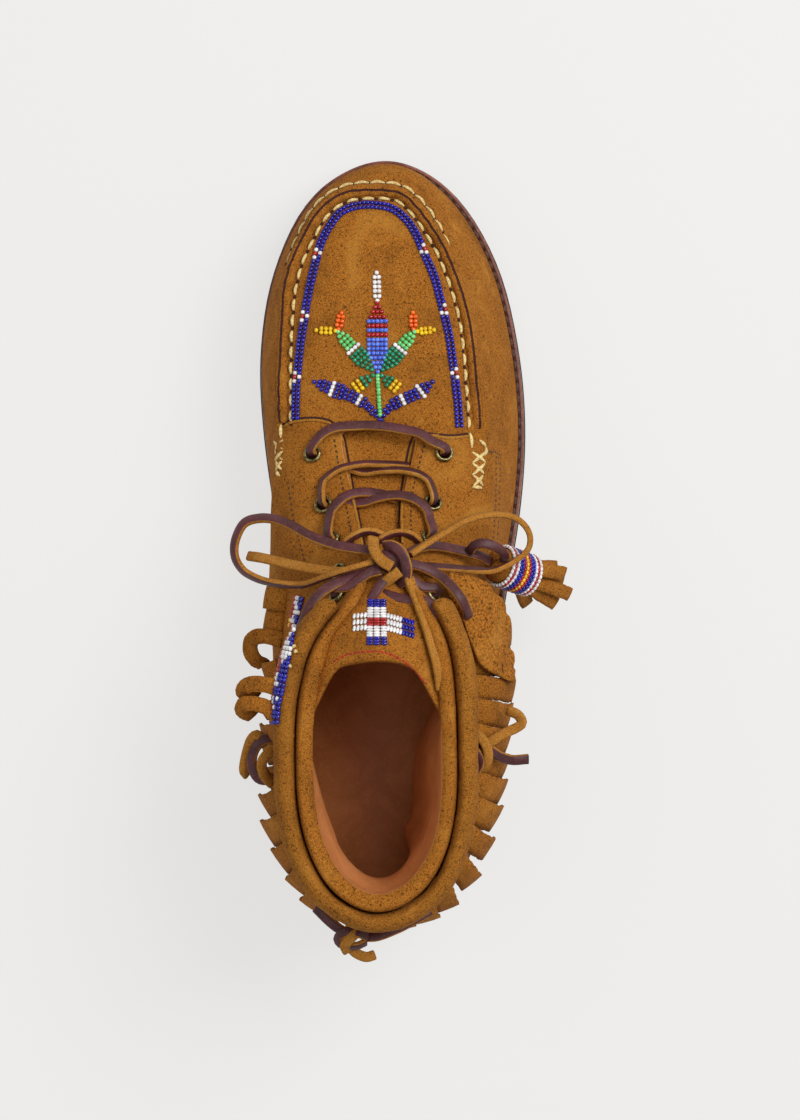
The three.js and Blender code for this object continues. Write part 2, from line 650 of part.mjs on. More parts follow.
// Collar roll: a padded tube along the outside of the top edge, flat where it lies on the wall.
function makeRoll() {
  const seat = QUARTER_STEP + ROLL_SEAT;
  const section = [
    { level: 3.62, depth: 0 },
    { level: 3.79, depth: 0 },
    { level: 3.96, depth: 0 },
    { level: 3.99, depth: 0.4 },
    { level: 3.94, depth: 0.82 },
    { level: 3.79, depth: 1 },
    { level: 3.64, depth: 0.82 },
    { level: 3.59, depth: 0.4 },
  ];
  const count = Math.round((ROLL_TO - ROLL_FROM) * COLUMNS_PER_ROW);
  const rings = Array.from({ length: count + 1 }, (_, i) => {
    const place = ROLL_FROM + ((ROLL_TO - ROLL_FROM) * i) / count;
    return section.map(({ level, depth }) => upperPoint(place, level, seat + depth * ROLL_DEPTH));
  });
  return solidOf(skin(rings));
}

// Places that cut the collar into strips of one width.
function evenPlaces(from, to, count, level) {
  const samples = Array.from({ length: 161 }, (_, i) => from + ((to - from) * i) / 160);
  const points = samples.map((place) => upperPoint(place, level));
  const run = points.map((p, i) => (i ? p.distanceTo(points[i - 1]) : 0));
  const length = run.map((_, i) => run.slice(0, i + 1).reduce((sum, d) => sum + d, 0));
  const total = length[length.length - 1];
  return Array.from({ length: count + 1 }, (_, k) => {
    const i = Math.max(1, length.findIndex((d) => d >= (total * k) / count - 1e-6));
    const share = ((total * k) / count - length[i - 1]) / (length[i] - length[i - 1]);
    return samples[i - 1] + (samples[i] - samples[i - 1]) * share;
  });
}

function hangAt(place) {
  const at = FRINGE_HANG.findIndex((row) => row.place >= place);
  const high = Math.max(1, at === -1 ? FRINGE_HANG.length - 1 : at);
  const [a, b] = [FRINGE_HANG[high - 1], FRINGE_HANG[high]];
  return mixedRow([a, b], (place - a.place) / (b.place - a.place));
}

// Fringe: a band under the roll with strips that hang from it and stand off the wall.
function makeFringe() {
  const places = evenPlaces(FRINGE_FROM, FRINGE_TO, FRINGE_STRIPS, FRINGE_TOP);
  const seat = QUARTER_STEP + FRINGE_SEAT;
  const band = [FRINGE_TOP, FRINGE_BAND].map((level) => places.map((place) => upperPoint(place, level, seat)));
  const strips = places.slice(1).map((to, i) => {
    const from = places[i];
    const slit = ((to - from) * FRINGE_SLIT) / upperPoint(from, FRINGE_TOP).distanceTo(upperPoint(to, FRINGE_TOP));
    const { off, tip } = hangAt((from + to) / 2);
    const sway = Math.sin(2.3 * i) * 0.12;
    const grid = [0, 0.5, 1].map((t) => {
      const level = FRINGE_BAND + 0.08 + (tip + 0.08 * Math.sin(4.1 * i) - FRINGE_BAND - 0.08) * t;
      const out = seat + 0.2 + off * BALL_WIDTH * (1 + sway) * t ** 1.4;
      return [from + slit / 2, to - slit / 2].map((place) => upperPoint(place, level, out));
    });
    return solidOf(plate(grid, FRINGE - 0.4));
  });
  return strips.reduce((all, strip) => all.add(strip), solidOf(plate(band, FRINGE)));
}

// The free flap of the collar's front on the outer side, cut off straight at its end.
function makeFlap() {
  const seat = QUARTER_STEP + FRINGE_SEAT;
  const grid = [0, 0.25, 0.5, 0.75, 1].map((t) =>
    FLAP_LINES.map(({ root, tip, reach }) =>
      upperPoint(root + (tip - root) * t, FRINGE_TOP + (reach - FRINGE_TOP) * t, seat + 0.07 * BALL_WIDTH * t ** 1.5),
    ),
  );
  return solidOf(plate(grid, FRINGE));
}

const UP = new THREE.Vector3(0, 0, 1);
const placed = ({ across, along, up }) =>
  new THREE.Vector3(across * BALL_WIDTH, alongToY(along), up * COLLAR_HEIGHT);

// The plane that touches some meshes from above, within half a lace's width of a point in plan.
function surfaceUnder(meshes, x, y) {
  const reach = LACE_WIDTH / 2;
  const heightAt = (dx, dy) => {
    const from = new THREE.Vector3(x + dx, y + dy, 2 * COLLAR_HEIGHT);
    const [hit] = new THREE.Raycaster(from, UP.clone().negate()).intersectObjects(meshes, false);
    return hit ? hit.point.z : 0;
  };
  const spots = [[0, 0], [reach, 0], [-reach, 0], [0, reach], [0, -reach]].map(([dx, dy]) => ({
    dx,
    dy,
    height: heightAt(dx, dy),
  }));
  const [, east, west, north, south] = spots;
  const slope = new THREE.Vector2(east.height - west.height, north.height - south.height);
  slope.divideScalar(2 * reach).clampLength(0, STEEPEST);
  const height = Math.max(...spots.map((s) => s.height - slope.x * s.dx - slope.y * s.dy));
  return { height, normal: new THREE.Vector3(-slope.x, -slope.y, 1).normalize() };
}

// A lace's path laid over some meshes: points with the direction its broad face looks in. Each pass
// draws it tighter over what it crosses.
function lay(rows, meshes, passes) {
  const plan = new THREE.CatmullRomCurve3(
    rows.map((row) => new THREE.Vector3(row.across * BALL_WIDTH, alongToY(row.along), 0)),
    false,
    "centripetal",
  );
  const lie = (t) => {
    const low = Math.min(rows.length - 2, Math.floor(t));
    const mix = (column) => {
      const [a, b] = [rows[low][column] ?? 0, rows[low + 1][column] ?? 0];
      return a + (b - a) * (t - low);
    };
    const p = plan.getPoint(t / (rows.length - 1));
    const { height, normal } = surfaceUnder(meshes, p.x, p.y);
    const lift = (LACE_CLEARANCE + LACE / 2 + mix("over") * LACE) / normal.z;
    const free = mix("up") * COLLAR_HEIGHT;
    p.z = Math.max(free, height + lift);
    return { p, normal: free > height + lift + LACE ? UP.clone() : normal };
  };
  const laid = Array.from({ length: STEPS_PER_ROW * (rows.length - 1) + 1 }, (_, i) => lie(i / STEPS_PER_ROW));
  for (let pass = 0; pass < passes; pass += 1) {
    for (let i = 1; i + 1 < laid.length; i += 1) {
      const [a, b] = [laid[i - 1], laid[i + 1]];
      laid[i].p.z = Math.max(laid[i].p.z, (a.p.z + b.p.z) / 2);
      if (pass < 3) laid[i].normal.add(a.normal).add(b.normal).normalize();
    }
  }
  return laid;
}

// A flat lace along a laid path, six points to its section.
function laceAlong(laid) {
  const path = new THREE.CatmullRomCurve3(laid.map(({ p }) => p), false, "centripetal");
  const section = [
    [0.5, 0], [0.32, 0.5], [-0.32, 0.5], [-0.5, 0], [-0.32, -0.5], [0.32, -0.5],
  ];
  const rings = laid.map(({ normal }, i) => {
    const tangent = path.getTangent(i / (laid.length - 1));
    const side = tangent.clone().cross(normal).normalize();
    const up = side.clone().cross(tangent).normalize();
    return section.map(([a, b]) =>
      laid[i].p.clone().addScaledVector(side, a * LACE_WIDTH).addScaledVector(up, b * LACE),
    );
  });
  return solidOf(skin(rings));
}

// A bar or crossing: strands laid over the quarters and the tongue, joined where they cross.
function makeLaceBar(strands, meshes) {
  return strands.map((rows) => laceAlong(lay(rows, meshes, TAUT))).reduce((all, strand) => all.add(strand));
}

// Tassel: a barrel with its tails fused on, each tail a flat strip that droops.
function makeTassel() {
  const [near, far] = [placed(TASSEL.near), placed(TASSEL.far)];
  const axis = far.clone().sub(near).normalize();
  const barrel = new THREE.CylinderGeometry(TASSEL_RADIUS, TASSEL_RADIUS, far.distanceTo(near), TASSEL_SIDES);
  const turn = new THREE.Quaternion().setFromUnitVectors(new THREE.Vector3(0, 1, 0), axis);
  const middle = near.clone().add(far).multiplyScalar(0.5);
  barrel.applyMatrix4(new THREE.Matrix4().compose(middle, turn, new THREE.Vector3(1, 1, 1)));
  const tails = TAIL_TIPS.map((row, i) => {
    const tip = placed(row);
    const spread = tip.clone().sub(far);
    spread.addScaledVector(axis, -spread.dot(axis)).setLength(TASSEL_RADIUS * 0.5);
    const root = far.clone().addScaledVector(axis, -4).add(spread);
    const bend = root.clone().lerp(tip, 0.5).addScaledVector(UP, 2 + (i % 2));
    const side = tip.clone().sub(root).cross(UP).setLength(TAIL_WIDTH / 2);
    const grid = [root, bend, tip].map((p) => [p.clone().sub(side), p.clone().add(side)]);
    return solidOf(plate(grid, TAIL));
  });
  return tails.reduce((all, tail) => all.add(tail), solidOf(barrel));
}

// The bow's knot, a bundle with its edges taken off.
function makeKnot() {
  const sphere = new THREE.SphereGeometry(0.5, 10, 6);
  sphere.scale(KNOT.width * BALL_WIDTH, KNOT.length * SOLE_LENGTH, KNOT.height * COLLAR_HEIGHT);
  sphere.translate(KNOT.across * BALL_WIDTH, alongToY(KNOT.along), KNOT.up * COLLAR_HEIGHT);
  return solidOf(sphere);
}

const boot = new THREE.Group();
boot.add(
  piece("outsole", makeOutsole(), RUBBER),
  piece("heel", makeHeel(), RUBBER),
  piece("midsole", makeMidsole(), CREPE),
  piece("welt", makeWelt(), WELT_LEATHER),
  piece("insole", makeInsole(), INSOLE_LEATHER),
  piece("upper", makeUpper(), SUEDE),
  piece("tongue", makeTongue(), SUEDE),
  piece("collar_roll", makeRoll(), SUEDE),
  piece("fringe", makeFringe(), SUEDE),
  piece("cuff_flap", makeFlap(), SUEDE),
  ...eyelets.map(({ name, place }) => piece(name, makeEyelet(place), BRASS)),
);

boot.add(piece("tassel", makeTassel(), SUEDE));
const under = boot.children.slice();
for (const [name, strands] of Object.entries(LACE_BARS)) {
  boot.add(piece(name, makeLaceBar(strands, under), LACE_LEATHER));
}
boot.add(piece("bow_knot", makeKnot(), LACE_LEATHER));
const below = boot.children.filter(({ name }) => name !== "bow_knot");
for (const [name, rows] of Object.entries(FREE_LACES)) {
  const lace = piece(name, laceAlong(lay(rows, below, SLACK)), LACE_LEATHER);
  boot.add(lace);
  below.push(lace);
}

export default boot;
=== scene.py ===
"""Looks of a fringed and beaded moccasin boot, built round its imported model."""

import logging
import math
from dataclasses import dataclass
from enum import Enum
from typing import Callable, Iterable, Iterator, Sequence

import bmesh
import bpy
import numpy as np
from mathutils import Matrix, Vector, noise
from mathutils.bvhtree import BVHTree


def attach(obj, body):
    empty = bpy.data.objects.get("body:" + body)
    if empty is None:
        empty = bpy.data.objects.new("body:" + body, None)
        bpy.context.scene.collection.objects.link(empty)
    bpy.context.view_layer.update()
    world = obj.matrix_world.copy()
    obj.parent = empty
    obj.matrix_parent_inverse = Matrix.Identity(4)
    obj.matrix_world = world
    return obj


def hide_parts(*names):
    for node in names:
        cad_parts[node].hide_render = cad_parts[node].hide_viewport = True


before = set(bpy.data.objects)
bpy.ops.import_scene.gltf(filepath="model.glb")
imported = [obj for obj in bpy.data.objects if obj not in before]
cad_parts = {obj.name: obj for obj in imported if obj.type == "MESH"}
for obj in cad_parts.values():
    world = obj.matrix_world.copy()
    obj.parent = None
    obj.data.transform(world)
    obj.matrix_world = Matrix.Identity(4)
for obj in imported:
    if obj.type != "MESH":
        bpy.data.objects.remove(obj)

MM = 0.001
BODY = "root"
UP = Vector((0, 0, 1))
Pixel = tuple[float, float]
Point = tuple[float, float, float]
log = logging.getLogger("boot")

# Makes the uneven shapes the same in every run
SEED = 1
# Pieces that a smooth line is cut into between two of its points
CUTS = 12
# Corners of a solid's mesh that lie this near each other, in metres, are one
SAME_POINT = 0.000004


def tone(code: str) -> tuple[float, float, float, float]:
    """Turns a colour written as six hexadecimal digits into linear light.

    Args:
        code: the colour, such as #A06A28.

    Returns:
        Red, green, blue and an alpha of 1.
    """
    shares = [int(code[i : i + 2], 16) / 255 for i in (1, 3, 5)]
    linear = [s / 12.92 if s <= 0.04045 else ((s + 0.055) / 1.055) ** 2.4 for s in shares]
    return (linear[0], linear[1], linear[2], 1.0)


class Value:
    """A number that a material works out over the surface, with Python's own operators."""

    def __init__(self, recipe: "Recipe", socket: bpy.types.NodeSocket) -> None:
        """Wraps a socket of a recipe."""
        self.recipe = recipe
        self.socket = socket

    def _maths(self, operation: str, first: object, second: object) -> "Value":
        """Adds a Math node.

        Args:
            operation: the node's operation.
            first: a value or a number.
            second: a value or a number.

        Returns:
            The node's result.
        """
        node = self.recipe.node("ShaderNodeMath", {"operation": operation}, {0: first, 1: second})
        return Value(self.recipe, node.outputs[0])

    def __add__(self, other: object) -> "Value":
        """Adds."""
        return self._maths("ADD", self, other)

    __radd__ = __add__

    def __sub__(self, other: object) -> "Value":
        """Takes away."""
        return self._maths("SUBTRACT", self, other)

    def __rsub__(self, other: object) -> "Value":
        """Is taken away from."""
        return self._maths("SUBTRACT", other, self)

    def __mul__(self, other: object) -> "Value":
        """Multiplies."""
        return self._maths("MULTIPLY", self, other)

    __rmul__ = __mul__

    def step(self, low: float, high: float) -> "Value":
        """Rises smoothly from 0 at low to 1 at high.

        Args:
            low: where the rise starts.
            high: where it ends.

        Returns:
            The stepped value.
        """
        node = self.recipe.node(
            "ShaderNodeMapRange",
            {"interpolation_type": "SMOOTHSTEP"},
            {"Value": self, "From Min": low, "From Max": high},
        )
        return Value(self.recipe, node.outputs[0])


class Recipe:
    """The nodes of one material."""

    def __init__(self, name: str) -> None:
        """Starts a material with a plain principled shader.

        Args:
            name: the material's name.
        """
        self.material = bpy.data.materials.new(name)
        self.material.use_nodes = True
        self.tree = self.material.node_tree
        self.shader = self.tree.nodes["Principled BSDF"]

    def node(
        self, kind: str, settings: dict[str, object], sockets: dict[object, object]
    ) -> bpy.types.Node:
        """Adds a node.

        Args:
            kind: its type.
            settings: its own settings, which are set first.
            sockets: values or links of its inputs, by name or number.

        Returns:
            The node.
        """
        made = self.tree.nodes.new(kind)
        for name, value in settings.items():
            setattr(made, name, value)
        for name, value in sockets.items():
            self._feed(made.inputs[name], value)
        return made

    def _feed(self, socket: bpy.types.NodeSocket, value: object) -> None:
        """Links a value to a socket, or sets the socket's own number or colour.

        Args:
            socket: the input to feed.
            value: what feeds it.
        """
        if isinstance(value, Value):
            self.tree.links.new(value.socket, socket)
        else:
            socket.default_value = value

    def place(self, output: str = "Object") -> Value:
        """The point of the surface, in metres, or its own UV place."""
        return Value(self, self.node("ShaderNodeTexCoord", {}, {}).outputs[output])

    def noise(
        self, where: Value, scale: float, detail: float = 3, rough: float = 0.6, bend: float = 0.0
    ) -> Value:
        """Adds a noise.

        Args:
            where: the point it is read at.
            scale: patches to a metre.
            detail: its octaves.
            rough: how strong the fine ones are.
            bend: how far it is distorted.

        Returns:
            The noise, about 0.5 on average.
        """
        sockets = {"Vector": where, "Scale": scale, "Detail": detail, "Roughness": rough, "Distortion": bend}
        return Value(self, self.node("ShaderNodeTexNoise", {}, sockets).outputs[0])

    def cells(self, where: Value, scale: float) -> Value:
        """The distance to the nearest of scattered points, as in a leather's grain."""
        node = self.node("ShaderNodeTexVoronoi", {"feature": "F1"}, {"Vector": where, "Scale": scale})
        return Value(self, node.outputs[0])

    def mix(self, share: Value, first: object, second: object) -> Value:
        """Mixes two colours.

        Args:
            share: 0 for the first colour, 1 for the second.
            first: a colour.
            second: a colour.

        Returns:
            The mixed colour.
        """
        node = self.node("ShaderNodeMix", {"data_type": "RGBA"}, {0: share, 6: first, 7: second})
        return Value(self, node.outputs[2])

    def bump(self, height: Value, distance: float, strength: float = 1.0) -> Value:
        """Turns a height into a bumped normal.

        Args:
            height: 0 to 1 over the surface.
            distance: what 1 stands for, in metres.
            strength: how much of it is used.

        Returns:
            The normal.
        """
        sockets = {"Height": height, "Distance": distance, "Strength": strength}
        return Value(self, self.node("ShaderNodeBump", {}, sockets).outputs[0])

    def finish(self, sockets: dict[str, object]) -> bpy.types.Material:
        """Feeds the shader.

        Args:
            sockets: values and links of the shader's inputs.

        Returns:
            The material.
        """
        for name, value in sockets.items():
            self._feed(self.shader.inputs[name], value)
        return self.material


@dataclass(frozen=True)
class Suede:
    """Brushed suede: a fine nap with dark pores and lighter and darker strokes.

    The grain is how much finer than usual it is, and the nap is its depth in millimetres.
    """

    name: str
    base: str = "#B06E25"
    dark: str = "#4A2A0C"
    light: str = "#C28838"
    grain: float = 1.0
    nap: float = 0.5

    def material(self) -> bpy.types.Material:
        """Makes the material.

        Returns:
            The material.
        """
        r = Recipe(self.name)
        where = r.place()
        fine = r.noise(where, 2300 * self.grain, 2, 0.6)
        pores = r.noise(where, 1050 * self.grain, 3, 0.7, 0.5)
        strokes = r.noise(where, 34, 3, 0.6, 1.4)
        wear = r.noise(where, 150, 3, 0.6)
        colour = r.mix(fine.step(0.3, 0.64) * 0.78 + 0.22, tone(self.dark), tone(self.base))
        colour = r.mix((1 - pores.step(0.35, 0.45)) * 0.9, colour, tone(self.dark))
        colour = r.mix(strokes.step(0.5, 0.8) * 0.4, colour, tone(self.light))
        colour = r.mix((1 - strokes.step(0.22, 0.5)) * 0.42, colour, tone(self.dark))
        colour = r.mix(wear.step(0.55, 0.75) * 0.25, colour, tone(self.light))
        height = fine * 0.45 + pores * 0.55
        return r.finish(
            {
                "Base Color": colour,
                "Roughness": 0.97,
                "Specular IOR Level": 0.12,
                "Normal": r.bump(height, self.nap * MM, 0.9),
            }
        )


@dataclass(frozen=True)
class Hide:
    """Smooth leather with rubbed patches and a fine grain, which has a depth in millimetres."""

    name: str
    base: str
    dark: str
    light: str
    rough: float = 0.55
    grain: float = 1500
    depth: float = 0.12

    def material(self) -> bpy.types.Material:
        """Makes the material.

        Returns:
            The material.
        """
        r = Recipe(self.name)
        where = r.place()
        pores = r.cells(where, self.grain)
        rubbed = r.noise(where, 60, 4, 0.6, 0.8)
        fine = r.noise(where, 700, 3, 0.6)
        colour = r.mix(rubbed.step(0.35, 0.7), tone(self.dark), tone(self.base))
        colour = r.mix(fine.step(0.5, 0.72) * 0.4, colour, tone(self.light))
        rough = fine * 0.2 + (self.rough - 0.1)
        return r.finish(
            {
                "Base Color": colour,
                "Roughness": rough,
                "Specular IOR Level": 0.35,
                "Normal": r.bump(pores * 0.6 + fine * 0.4, self.depth * MM, 0.6),
            }
        )


@dataclass(frozen=True)
class Rubber:
    """Moulded sole rubber, matt and a little scuffed."""

    name: str
    base: str
    scuffed: str

    def material(self) -> bpy.types.Material:
        """Makes the material.

        Returns:
            The material.
        """
        r = Recipe(self.name)
        where = r.place()
        scuffs = r.noise(where, 130, 4, 0.65, 0.4)
        fine = r.noise(where, 1600, 2, 0.5)
        colour = r.mix(scuffs.step(0.5, 0.8) * 0.6, tone(self.base), tone(self.scuffed))
        return r.finish(
            {
                "Base Color": colour,
                "Roughness": scuffs * 0.2 + 0.65,
                "Specular IOR Level": 0.3,
                "Normal": r.bump(fine, 0.1 * MM, 0.5),
            }
        )


@dataclass(frozen=True)
class Brass:
    """Antique brass with dull brown in its hollows."""

    name: str = "antique_brass"

    def material(self) -> bpy.types.Material:
        """Makes the material.

        Returns:
            The material.
        """
        r = Recipe(self.name)
        where = r.place()
        age = r.noise(where, 900, 4, 0.65, 0.5)
        colour = r.mix(age.step(0.38, 0.62), tone("#4A4028"), tone("#A99C68"))
        return r.finish(
            {
                "Base Color": colour,
                "Metallic": 0.9,
                "Roughness": age * 0.25 + 0.28,
                "Normal": r.bump(age, 0.05 * MM, 0.5),
            }
        )


@dataclass(frozen=True)
class Thread:
    """Waxed thread, its two plies showing as a fine twist."""

    name: str
    base: str
    dark: str

    def material(self) -> bpy.types.Material:
        """Makes the material.

        Returns:
            The material.
        """
        r = Recipe(self.name)
        where = r.place()
        plies = r.noise(where, 1500, 2, 0.5, 1.0)
        colour = r.mix(plies.step(0.38, 0.6), tone(self.dark), tone(self.base))
        return r.finish(
            {"Base Color": colour, "Roughness": 0.7, "Normal": r.bump(plies, 0.2 * MM, 0.6)}
        )


class Bead(Enum):
    """The colours of the glass beads."""

    COBALT = ("b", "#0A0C78", "#1216A0")
    SKY = ("s", "#3C60D0", "#6488EE")
    RED = ("r", "#900410", "#B80C1C")
    WHITE = ("w", "#D2D0D0", "#F2F0F0")
    DEEP_GREEN = ("g", "#08704A", "#12926A")
    LEAF_GREEN = ("l", "#58BC64", "#80DC88")
    YELLOW = ("y", "#D8A800", "#F4CC08")
    ORANGE = ("o", "#E04C00", "#FA7008")

    def __init__(self, letter: str, base: str, light: str) -> None:
        """Keeps what a colour is made of.

        Args:
            letter: what stands for it in a chart.
            base: the glass's colour.
            light: the lighter colour of some beads.
        """
        self.letter = letter
        self.base = base
        self.light = light

    @classmethod
    def of(cls, letter: str) -> "Bead":
        """The colour that a chart's letter stands for."""
        return next(bead for bead in cls if bead.letter == letter)

    def material(self) -> bpy.types.Material:
        """Makes the glass in this colour, each bead a little different.

        Returns:
            The material.
        """
        r = Recipe("bead_" + self.name.lower())
        where = r.place()
        batch = r.noise(where, 420, 2, 0.5)
        colour = r.mix(batch.step(0.35, 0.68), tone(self.base), tone(self.light))
        return r.finish(
            {
                "Base Color": colour,
                "Roughness": 0.22,
                "Coat Weight": 0.35,
                "Coat Roughness": 0.08,
                "Specular IOR Level": 0.5,
            }
        )


class Shelf:
    """Keeps one copy of each finish."""

    def __init__(self) -> None:
        """Starts empty."""
        self.made: dict[object, bpy.types.Material] = {}

    def take(self, finish: object) -> bpy.types.Material:
        """Finds a finish's material, made the first time it is asked for.

        Args:
            finish: the finish.

        Returns:
            The material.
        """
        if finish not in self.made:
            self.made[finish] = finish.material()
        return self.made[finish]


SHELF = Shelf()
SUEDE = Suede("suede")
SUEDE_ROLL = Suede("suede_roll", base="#A66A24", light="#BC8234")
ROUGH_SUEDE = Suede("suede_flesh", grain=0.5, nap=1.1)
# Dark purple-brown: partly the raw edge's own colour at the seam's crest, partly painted shade in the
# crest's dip, between the seam's stitches and in the welt's channel, and painted shadow beside the panel
# edges.
SEAM_EDGE_AND_SHADE = Suede("seam_edge_and_painted_shade", base="#4A2C26", dark="#2A1614", light="#5E3A30", nap=0.2)
PALE_EDGE = Suede("suede_edge", base="#B57C30", dark="#6E4618", light="#C8924A")
LINING = Hide("lining", "#D08850", "#BC7640", "#DC9A66", 0.55)
SOCK = Hide("insole_leather", "#C47C46", "#B26C38", "#CE8A54", 0.45)
WELT_LEATHER = Hide("welt_leather", "#8E5546", "#66382C", "#B07C6A", 0.45)
GRAIN_SIDE = Hide("lace_grain", "#5A2C30", "#42201F", "#74444A", 0.5)
FLESH_SIDE = Suede("lace_flesh", base="#B87C34", dark="#6E4616", light="#CE9A50", grain=1.3, nap=0.3)
OUTSOLE_RUBBER = Rubber("outsole_rubber", "#2E241F", "#4C4038")
CREPE = Rubber("midsole_crepe", "#CFC2AA", "#B4A588")
CREAM_THREAD = Thread("cream_thread", "#EAD492", "#BC9C60")
BROWN_THREAD = Thread("brown_thread", "#5C3A2A", "#321A12")
TAN_THREAD = Thread("tan_thread", "#50300E", "#2C1A06")
RED_THREAD = Thread("red_thread", "#C01818", "#800C10")


def ramp(value: float, low: float, high: float) -> float:
    """Rises smoothly from 0 at low to 1 at high, or falls where high is the lower."""
    t = min(1.0, max(0.0, (value - low) / (high - low)))
    return t * t * (3 - 2 * t)


class Eye:
    """The camera, and what lies under each point of its picture."""

    HEIGHT = 1.4
    PLAN = (0.0088, 0.0994)
    PIXEL = 0.0004
    MIDDLE = (400, 560)
    PICTURE = (800, 1120)
    SENSOR = 36

    def __init__(self) -> None:
        """Starts with nothing to look at."""
        self.trees: list[BVHTree] = []
        self.at = Vector((*self.PLAN, self.HEIGHT))

    def camera(self) -> None:
        """Hangs the camera over the boot, looking straight down with the toe up the picture."""
        data = bpy.data.cameras.new("camera")
        data.sensor_width = self.SENSOR
        data.lens = self.SENSOR * self.HEIGHT / (self.PICTURE[1] * self.PIXEL)
        camera = bpy.data.objects.new("camera", data)
        camera.location = self.at
        bpy.context.collection.objects.link(camera)
        bpy.context.scene.camera = camera

    def watch(self, pieces: Sequence[bpy.types.Object]) -> None:
        """Takes in pieces that others are laid on."""
        graph = bpy.context.evaluated_depsgraph_get()
        self.trees += [BVHTree.FromObject(piece, graph) for piece in pieces]

    def ray(self, u: float, v: float) -> Vector:
        """The direction in which a point of the picture is seen.

        Args:
            u: its place across the picture.
            v: its place down the picture.

        Returns:
            The direction, 1 long.
        """
        x = self.PLAN[0] + (u - self.MIDDLE[0]) * self.PIXEL
        y = self.PLAN[1] + (self.MIDDLE[1] - v) * self.PIXEL
        return (Vector((x, y, 0)) - self.at).normalized()

    def through(self, u: float, v: float, height: float) -> Vector:
        """The point seen at a picture point, at a height in millimetres."""
        ray = self.ray(u, v)
        return self.at + ray * ((height * MM - self.HEIGHT) / ray.z)

    def route(self, spots: Sequence[Point]) -> list[Point]:
        """The points seen at picture points with heights, all in millimetres."""
        return [tuple(self.through(*spot) / MM) for spot in spots]

    def _first(self, start: Vector, ray: Vector) -> tuple[Vector, Vector] | None:
        """Finds the first surface that a ray meets.

        Args:
            start: where the ray comes from.
            ray: its direction.

        Returns:
            The point and its normal towards where the ray came from, if it meets anything.
        """
        hits = [tree.ray_cast(start, ray) for tree in self.trees]
        hits = [hit for hit in hits if hit[0] is not None]
        if not hits:
            return None
        place, normal, _, _ = min(hits, key=lambda hit: hit[3])
        return place, (normal if normal.dot(ray) < 0 else -normal)

    def hit(self, u: float, v: float) -> tuple[Vector, Vector]:
        """The surface under a picture point.

        Args:
            u: its place across the picture.
            v: its place down the picture.

        Returns:
            The point and the normal there; the floor where nothing is under it.
        """
        return self._first(self.at, self.ray(u, v)) or (self.through(u, v, 0), UP.copy())

    def nearest(self, spot: Vector, normal: Vector) -> tuple[Vector, Vector]:
        """Finds the nearest surface to a point.

        Args:
            spot: the point.
            normal: the side that the surface is looked for on.

        Returns:
            The point on the surface and the normal there.
        """
        found = [tree.find_nearest(spot) for tree in self.trees]
        place, facing, _, _ = min(found, key=lambda hit: hit[3])
        return place, (facing if facing.dot(normal) > 0 else -facing)

    def frame(self, u: float, v: float, across: float, down: float) -> Matrix:
        """A frame on the surface under a picture point.

        Args:
            u: its place across the picture.
            v: its place down the picture.
            across: how far across the picture X points.
            down: how far down the picture X points.

        Returns:
            The frame, Z along the normal.
        """
        place, normal = self.hit(u, v)
        beside, _ = self.hit(u + across, v + down)
        return frame_at(place, beside - place, normal)


EYE = Eye()


def lengths(points: Sequence[Vector]) -> list[float]:
    """Measures a line.

    Args:
        points: its points.

    Returns:
        How far along the line each of them is.
    """
    run = [0.0]
    for a, b in zip(points, points[1:]):
        run.append(run[-1] + (b - a).length)
    return run


def stations(run: Sequence[float], wanted: Iterable[float]) -> Iterator[tuple[int, float]]:
    """Finds distances along a line.

    Args:
        run: how far along the line each of its points is.
        wanted: the distances, each greater than the last.

    Returns:
        For each, the number of the point before it and the share of the step from there.
    """
    k = 0
    for want in wanted:
        while k < len(run) - 2 and run[k + 1] < want:
            k += 1
        span = run[k + 1] - run[k]
        yield k, ((want - run[k]) / span if span else 0)


def direction(points: Sequence[Vector], i: int) -> Vector:
    """Which way a line runs at one of its points."""
    return (points[min(i + 1, len(points) - 1)] - points[max(i - 1, 0)]).normalized()


def smooth(points: Sequence[Sequence[float]], gap: float) -> list[Vector]:
    """Draws a smooth line through points and cuts it into even steps.

    Args:
        points: two or three numbers each.
        gap: the length of a step, in the points' own unit.

    Returns:
        Points along the line, both ends among them.
    """
    p = [Vector(q) for q in points]
    p = [p[0] * 2 - p[1], *p, p[-1] * 2 - p[-2]]
    fine = []
    for a, b, c, d in zip(p, p[1:], p[2:], p[3:]):
        for i in range(CUTS):
            t = i / CUTS
            square = (2 * a - 5 * b + 4 * c - d) * t**2
            cube = (3 * b - a - 3 * c + d) * t**3
            fine.append(0.5 * (2 * b + (c - a) * t + square + cube))
    fine.append(p[-2])
    run = lengths(fine)
    count = max(2, round(run[-1] / gap))
    wanted = (run[-1] * i / count for i in range(count + 1))
    return [fine[k].lerp(fine[k + 1], share) for k, share in stations(run, wanted)]


